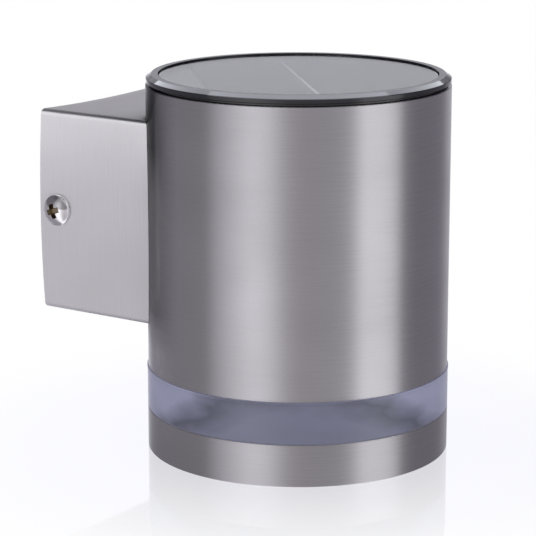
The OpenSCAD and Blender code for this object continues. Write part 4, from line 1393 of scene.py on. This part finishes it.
@dataclass
class LampModule:
    """The tray under the cap with the battery, the board, the lamps and the switch."""

    tray_low: float = 68.4
    board_top: float = 75.3
    post_ring_r: float = 29.05
    battery_y: float = 9.0
    battery_z: float = 77.75
    battery_l: float = 50.5
    bay_half: float = 28.15
    wire_r: float = 0.6
    stub: float = 0.5
    plate: Point3 = (0.4, 9.0, 11.0)
    spring_wire: float = 0.4
    spring_turns: int = 4
    spring_steps: int = 32
    spring_wide: float = 4.6
    spring_narrow: float = 2.6

    def build(self, bench: Bench) -> None:
        """Makes and dresses every piece of the module."""
        bench.dress({
            "module_tray": "dark_plastic",
            "circuit_board": "board_green",
            "driver_chip": "chip_black",
            "boost_inductor": "inductor_green",
            "led_left": "lamp_lens",
            "led_right": "lamp_lens",
            "switch_housing": "plate_steel",
            "switch_knob": "black_plastic",
            "battery": "battery_sleeve",
            "battery_contact": "nickel",
            "battery_door": "dark_plastic",
            "door_pin": "nickel",
        })
        screw = PanScrew(2.4, 8.0, 4.4, 1.5, 0.8, 7.2, sides=14)
        bench.fasten("tray_screw_ring", screw, "solar_cap", "tray_screws", {
            "Count": 3, "Ring Radius": self.post_ring_r * MM, "First Angle": math.radians(90.0),
            "Centre": (0.0, 0.0, self.tray_low * MM), "Outward": 0.0, "Upward": -1.0, "Turn": 0.4,
        })
        screw = PanScrew(2.4, 5.0, 4.4, 1.5, 0.8, 4.4, sides=14)
        bench.fasten("board_screw_row", screw, "solar_cap", "board_screws", {
            "Count": 2, "Start": (16.0 * MM, -6.0 * MM, self.board_top * MM),
            "Step": (-32.0 * MM, -15.0 * MM, 0.0), "Aim": (0.0, 0.0, 1.0), "Turn": 0.7,
        })
        self.leads(bench)
        self.spring(bench)

    def lead_path(self, places: Sequence[Point3], steps: int = 28) -> list[Point3]:
        """Returns a lead's path along a smooth curve with a straight stub at each end."""
        a, b, c, d = (Vector(p) for p in places)
        start = a + (b - a).normalized() * self.stub
        finish = d + (c - d).normalized() * self.stub
        curve = [
            start * (1 - t) ** 3 + b * 3 * t * (1 - t) ** 2 + c * 3 * t * t * (1 - t)
            + finish * t ** 3
            for t in (i / steps for i in range(steps + 1))
        ]
        return [tuple(p) for p in (a, *curve, d)]

    def leads(self, bench: Bench) -> None:
        """Makes the cell's leads and the battery's leads."""
        top = self.board_top
        x, y = self.bay_half - 0.2, self.battery_y - 4.5 + self.wire_r
        z = self.battery_z + 5.5
        for name, node, slot, places in (
            ("cell_leads", "cell_wires", "red_wire", (
                (5.0, -12.5, 93.25), (5.0, -12.5, 84.45), (15.2, -12.5, top + 9.0),
                (15.2, -12.5, top),
            )),
            ("battery_leads", "battery_wires", "black_wire", (
                (x, y, z), (x, y, z + 7.0), (12.0, -5.6, top + 7.0), (12.0, -5.6, top),
            )),
        ):
            right = self.lead_path(places)
            left = [(-px, py, pz) for px, py, pz in right]
            piece = bench.swept(name, [right, left], self.wire_r, 16, slot)
            bench.settle(piece, "solar_cap", slot, [node])

    def spring(self, bench: Bench) -> None:
        """Makes the battery's wound spring on its plate."""
        wire = self.spring_wire
        from_x = -self.bay_half + self.plate[0] + wire - 0.02
        to_x = self.bay_half - 0.42 - self.battery_l - wire - 0.02
        count = self.spring_turns * self.spring_steps
        path = []
        for i in range(count + 1):
            share = i / count
            r = self.spring_wide + (self.spring_narrow - self.spring_wide) * share
            dy, dz = turned(r, 0.0, 2 * math.pi * i / self.spring_steps)
            path.append((
                from_x + (to_x - from_x) * share, self.battery_y + dy, self.battery_z + dz
            ))
        piece = bench.swept("bay_spring", [path], wire, 12, "nickel")
        self.add_plate(piece.data)
        bench.settle(piece, "solar_cap", "nickel", ["battery_spring"])

    def add_plate(self, mesh: Mesh) -> None:
        """Adds the spring's plate, with its edges broken, to the spring's mesh."""
        work = bmesh.new()
        work.from_mesh(mesh)
        made = bmesh.ops.create_cube(work, size=1.0)["verts"]
        bmesh.ops.scale(work, verts=made, vec=tuple(side * MM for side in self.plate))
        place = (-self.bay_half + self.plate[0] / 2, self.battery_y, self.battery_z)
        bmesh.ops.translate(work, verts=made, vec=tuple(c * MM for c in place))
        edges = list({e for v in made for e in v.link_edges})
        bmesh.ops.bevel(
            work, geom=edges, offset=0.12 * MM, segments=2, affect="EDGES", profile=0.5
        )
        work.to_mesh(mesh)
        work.free()
        smooth(mesh, 45.0)


@dataclass
class WallBracket:
    """The bent plate that stays on the wall."""

    def build(self, bench: Bench) -> None:
        """Dresses the plate."""
        bench.dress({"wall_plate": "plate_steel"})


@dataclass
class Studio:
    """The floor, the soft light round the object and the camera."""

    camera_place: Point3 = (-0.47657, -0.31794, 0.17937)
    camera_aim: Point3 = (-0.004279, 0.006234, 0.045466)
    lamp_aim: Point3 = (0.0, 0.0, 0.05)
    lens: float = 156.35
    ambient: float = 0.85
    gain: float = 1.6
    card: float = 0.9
    card_floor: float = 1.52
    card_top: float = 0.45
    card_turn: Point2 = (32.0, 20.0)
    rim_watts: float = 6.8
    lid_watts: float = 3.1
    bend_watts: float = 2.0
    top_watts: float = 0.95
    floor_half: float = 4000.0
    floor_glow: float = 0.98
    heights: tuple[Point2, ...] = (
        (-1.0, 0.8), (-0.4, 0.88), (-0.2, 0.92), (-0.04, 1.0), (0.06, 0.62), (0.14, 0.42),
        (0.5, 0.42), (0.75, 0.28), (1.0, 0.15),
    )
    panorama: tuple[tuple[float, Colour], ...] = (
        (-168.0, (0.95, 0.95, 1.03)), (-160.0, (0.6, 0.6, 0.64)), (-152.0, (0.3, 0.29, 0.32)),
        (-143.0, (0.22, 0.21, 0.24)), (-100.0, (0.24, 0.23, 0.25)), (-73.0, (0.27, 0.26, 0.28)),
        (-66.0, (0.5, 0.49, 0.52)), (-50.0, (0.78, 0.77, 0.8)), (-36.0, (0.98, 0.97, 1.0)),
        (-24.0, (0.84, 0.83, 0.86)), (-8.0, (0.47, 0.45, 0.47)), (4.0, (0.4, 0.38, 0.4)),
        (38.0, (0.38, 0.37, 0.39)), (44.0, (0.55, 0.54, 0.56)), (50.0, (0.98, 0.97, 1.0)),
        (73.0, (1.0, 0.99, 1.0)), (80.0, (0.84, 0.83, 0.86)), (86.0, (0.3, 0.29, 0.31)),
        (98.0, (0.2, 0.19, 0.21)), (138.0, (0.19, 0.18, 0.21)), (150.0, (0.34, 0.33, 0.36)),
        (162.0, (0.4, 0.4, 0.43)), (176.0, (0.93, 0.93, 1.0)),
    )

    def build(self) -> None:
        """Makes the floor, the world, the lamps and the camera."""
        self.floor()
        self.world()
        self.lamps()
        self.camera()
        bpy.context.scene.view_settings.view_transform = "Standard"

    def floor(self) -> None:
        """Makes the white floor: it keeps shadows, mirrors faintly, is clear from below, and
        carries a painted bluish reflection tint near the object.
        """
        half = self.floor_half
        points = [(-half, -half, 0.0), (half, -half, 0.0), (half, half, 0.0), (-half, half, 0.0)]
        piece = add_object("studio_floor", mesh_from("studio_floor", points, [(0, 1, 2, 3)]))
        g = FinishGraph("floor_white")
        clouds = g.noise((400.0,) * 3, 1.0)
        tone = g.ramp(clouds, [(0.0, (0.93, 0.93, 0.935)), (1.0, (0.95, 0.95, 0.955))])
        matt = g.get("ShaderNodeBsdfDiffuse", {"Color": tone})
        reach = g.add("ShaderNodeVectorMath", {0: g.place}, operation="LENGTH").outputs["Value"]
        # Painted reflection tint: the glow turns slightly bluish near the object.
        painted_reflection_tint = g.blend(g.span(reach, 0.3, 0.0, 42.0 * MM, 110.0 * MM), WHITE, (0.88, 0.88, 1.0))
        glow = g.get("ShaderNodeEmission", {"Color": painted_reflection_tint})
        white = g.get("ShaderNodeMixShader", {0: self.floor_glow, 1: matt, 2: glow})
        gloss = g.get("ShaderNodeBsdfGlossy", {
            "Color": (0.95, 0.95, 1.0, 1.0), "Roughness": g.span(clouds, 0.03, 0.05)
        })
        share = g.span(reach, 0.31, 0.0, 38.0 * MM, 98.0 * MM)
        sheen = g.get("ShaderNodeMixShader", {0: share, 1: white, 2: gloss})
        path = g.add("ShaderNodeLightPath").outputs
        seen = g.get("ShaderNodeMixShader", {0: path["Is Camera Ray"], 1: matt, 2: sheen})
        below = g.add("ShaderNodeNewGeometry").outputs["Backfacing"]
        choice = g.get("ShaderNodeMixShader", {
            0: g.math("MAXIMUM", path["Is Glossy Ray"], below), 1: seen,
            2: g.get("ShaderNodeBsdfTransparent"),
        })
        g.feed(g.out.inputs["Surface"], choice)
        g.tree.nodes.remove(g.shader)
        piece.data.materials.append(g.material)

    def panorama_stops(self) -> list[tuple[float, Colour]]:
        """Returns the panorama's stops by world direction, from -180 to 180 degrees."""
        facing = math.degrees(math.atan2(self.camera_place[1], self.camera_place[0]))
        stops = sorted(
            (((facing + angle + 180.0) % 360.0) / 360.0, colour)
            for angle, colour in self.panorama
        )
        first, last = stops[0], stops[-1]
        share = (1.0 - last[0]) / (first[0] + 1.0 - last[0])
        seam = tuple(a + (b - a) * share for a, b in zip(last[1], first[1]))
        return [(0.0, seam), *stops, (1.0, seam)]

    def world(self) -> None:
        """Makes the world: white to the camera, a lit studio to metal and glass."""
        world = bpy.data.worlds.new("studio_world")
        bpy.context.scene.world = world
        world.use_nodes = True
        world.node_tree.nodes.clear()
        world.cycles.sampling_method = "NONE"
        w = Wiring(world.node_tree)
        way = w.add("ShaderNodeTexCoord").outputs["Generated"]
        axes = w.split(way)
        angle = w.math("ARCTAN2", axes["Y"], axes["X"])
        around = w.ramp(w.span(angle, 0.0, 1.0, -math.pi, math.pi), self.panorama_stops())
        level = w.math("ADD", w.math("MULTIPLY", axes["Z"], 0.5), 0.5)
        above = w.ramp(level, [
            ((place + 1.0) / 2.0, (value,) * 3) for place, value in self.heights
        ])
        rear = Vector(self.camera_aim) - Vector(self.camera_place)
        rear = Vector((rear.x, rear.y, -rear.z)).normalized()
        near = w.add("ShaderNodeVectorMath", {0: way, 1: tuple(rear)}, operation="DOT_PRODUCT")
        start, end = (math.cos(math.radians(turn)) for turn in self.card_turn)
        inside = w.span(near.outputs["Value"], 0.0, 1.0, start, end, "SMOOTHSTEP")
        card = self.card * self.gain
        for start, end, value in ((0.19, 0.25, self.card_floor), (0.38, 0.45, self.card_top)):
            card = w.span(axes["Z"], card, self.gain * value, start, end, "SMOOTHSTEP")
        power = w.get("ShaderNodeMix", {0: inside, 2: self.gain, 3: card})
        lit = w.scaled(w.blend(1.0, around, above, "MULTIPLY"), power)
        path = w.add("ShaderNodeLightPath").outputs
        mirrored = w.math("MAXIMUM", path["Is Glossy Ray"], path["Is Transmission Ray"])
        even = (self.ambient, self.ambient, self.ambient * 1.01)
        shown = w.blend(path["Is Camera Ray"], w.blend(mirrored, even, lit), WHITE)
        back = w.get("ShaderNodeBackground", {"Color": shown, "Strength": 1.0})
        w.add("ShaderNodeOutputWorld", {"Surface": back})

    def lamps(self) -> None:
        """Hangs two large soft lamps, and soft boxes that only one piece mirrors each."""
        for name, place, size, watts, mirror in (
            ("key_lamp", (-0.7, -0.2, 1.1), 0.9, 5.0, ""),
            ("fill_lamp", (0.8, -0.5, 0.9), 0.8, 2.0, ""),
            ("side_box", (-0.44, 0.33, 0.3), 0.6, self.bend_watts, "arm_shell"),
            ("rear_box", (0.62, 0.46, 0.38), 0.8, self.top_watts, "arm_shell"),
            ("rim_box", (0.47, 0.31, 0.66), 1.0, self.rim_watts, "cap_shell"),
            ("lid_box", (0.0, 0.0, 0.6), 0.8, self.lid_watts, "cap_shell"),
        ):
            data = bpy.data.lights.new(name, "AREA")
            data.shape = "DISK"
            data.size = size
            data.energy = watts
            if mirror == "cap_shell":
                data.color = (0.9, 0.92, 1.0)
            lamp = self.aimed(bpy.data.objects.new(name, data), place, self.lamp_aim)
            lamp.visible_glossy = bool(mirror)
            lamp.visible_camera = False
            if mirror:
                lit = bpy.data.collections.new(name + "_lights")
                lit.objects.link(bpy.data.objects[mirror])
                lamp.light_linking.receiver_collection = lit

    @staticmethod
    def aimed(thing: Object, place: Point3, aim: Point3) -> Object:
        """Puts a lamp or camera in its place, turned to what it aims at, and returns it."""
        thing.location = place
        thing.rotation_euler = (Vector(aim) - thing.location).to_track_quat("-Z", "Y").to_euler()
        bpy.context.scene.collection.objects.link(thing)
        return thing

    def camera(self) -> None:
        """Sets the camera at the photograph's angle."""
        data = bpy.data.cameras.new("photo_camera")
        data.lens = self.lens
        data.sensor_width = 36.0
        data.sensor_fit = "HORIZONTAL"
        data.clip_start = 0.01
        camera = bpy.data.objects.new("photo_camera", data)
        bpy.context.scene.camera = self.aimed(camera, self.camera_place, self.camera_aim)


def main() -> None:
    """Builds the light and the studio."""
    logging.basicConfig(level=logging.INFO, format="%(name)s %(message)s")
    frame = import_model()
    bench = Bench(frame)
    for assembly in (WallBracket(), LampBody(), WallArm(), SolarCap(), LampModule()):
        LOG.info("%s", type(assembly).__name__)
        assembly.build(bench)
    Studio().build()


if __name__ == "__main__":
    main()
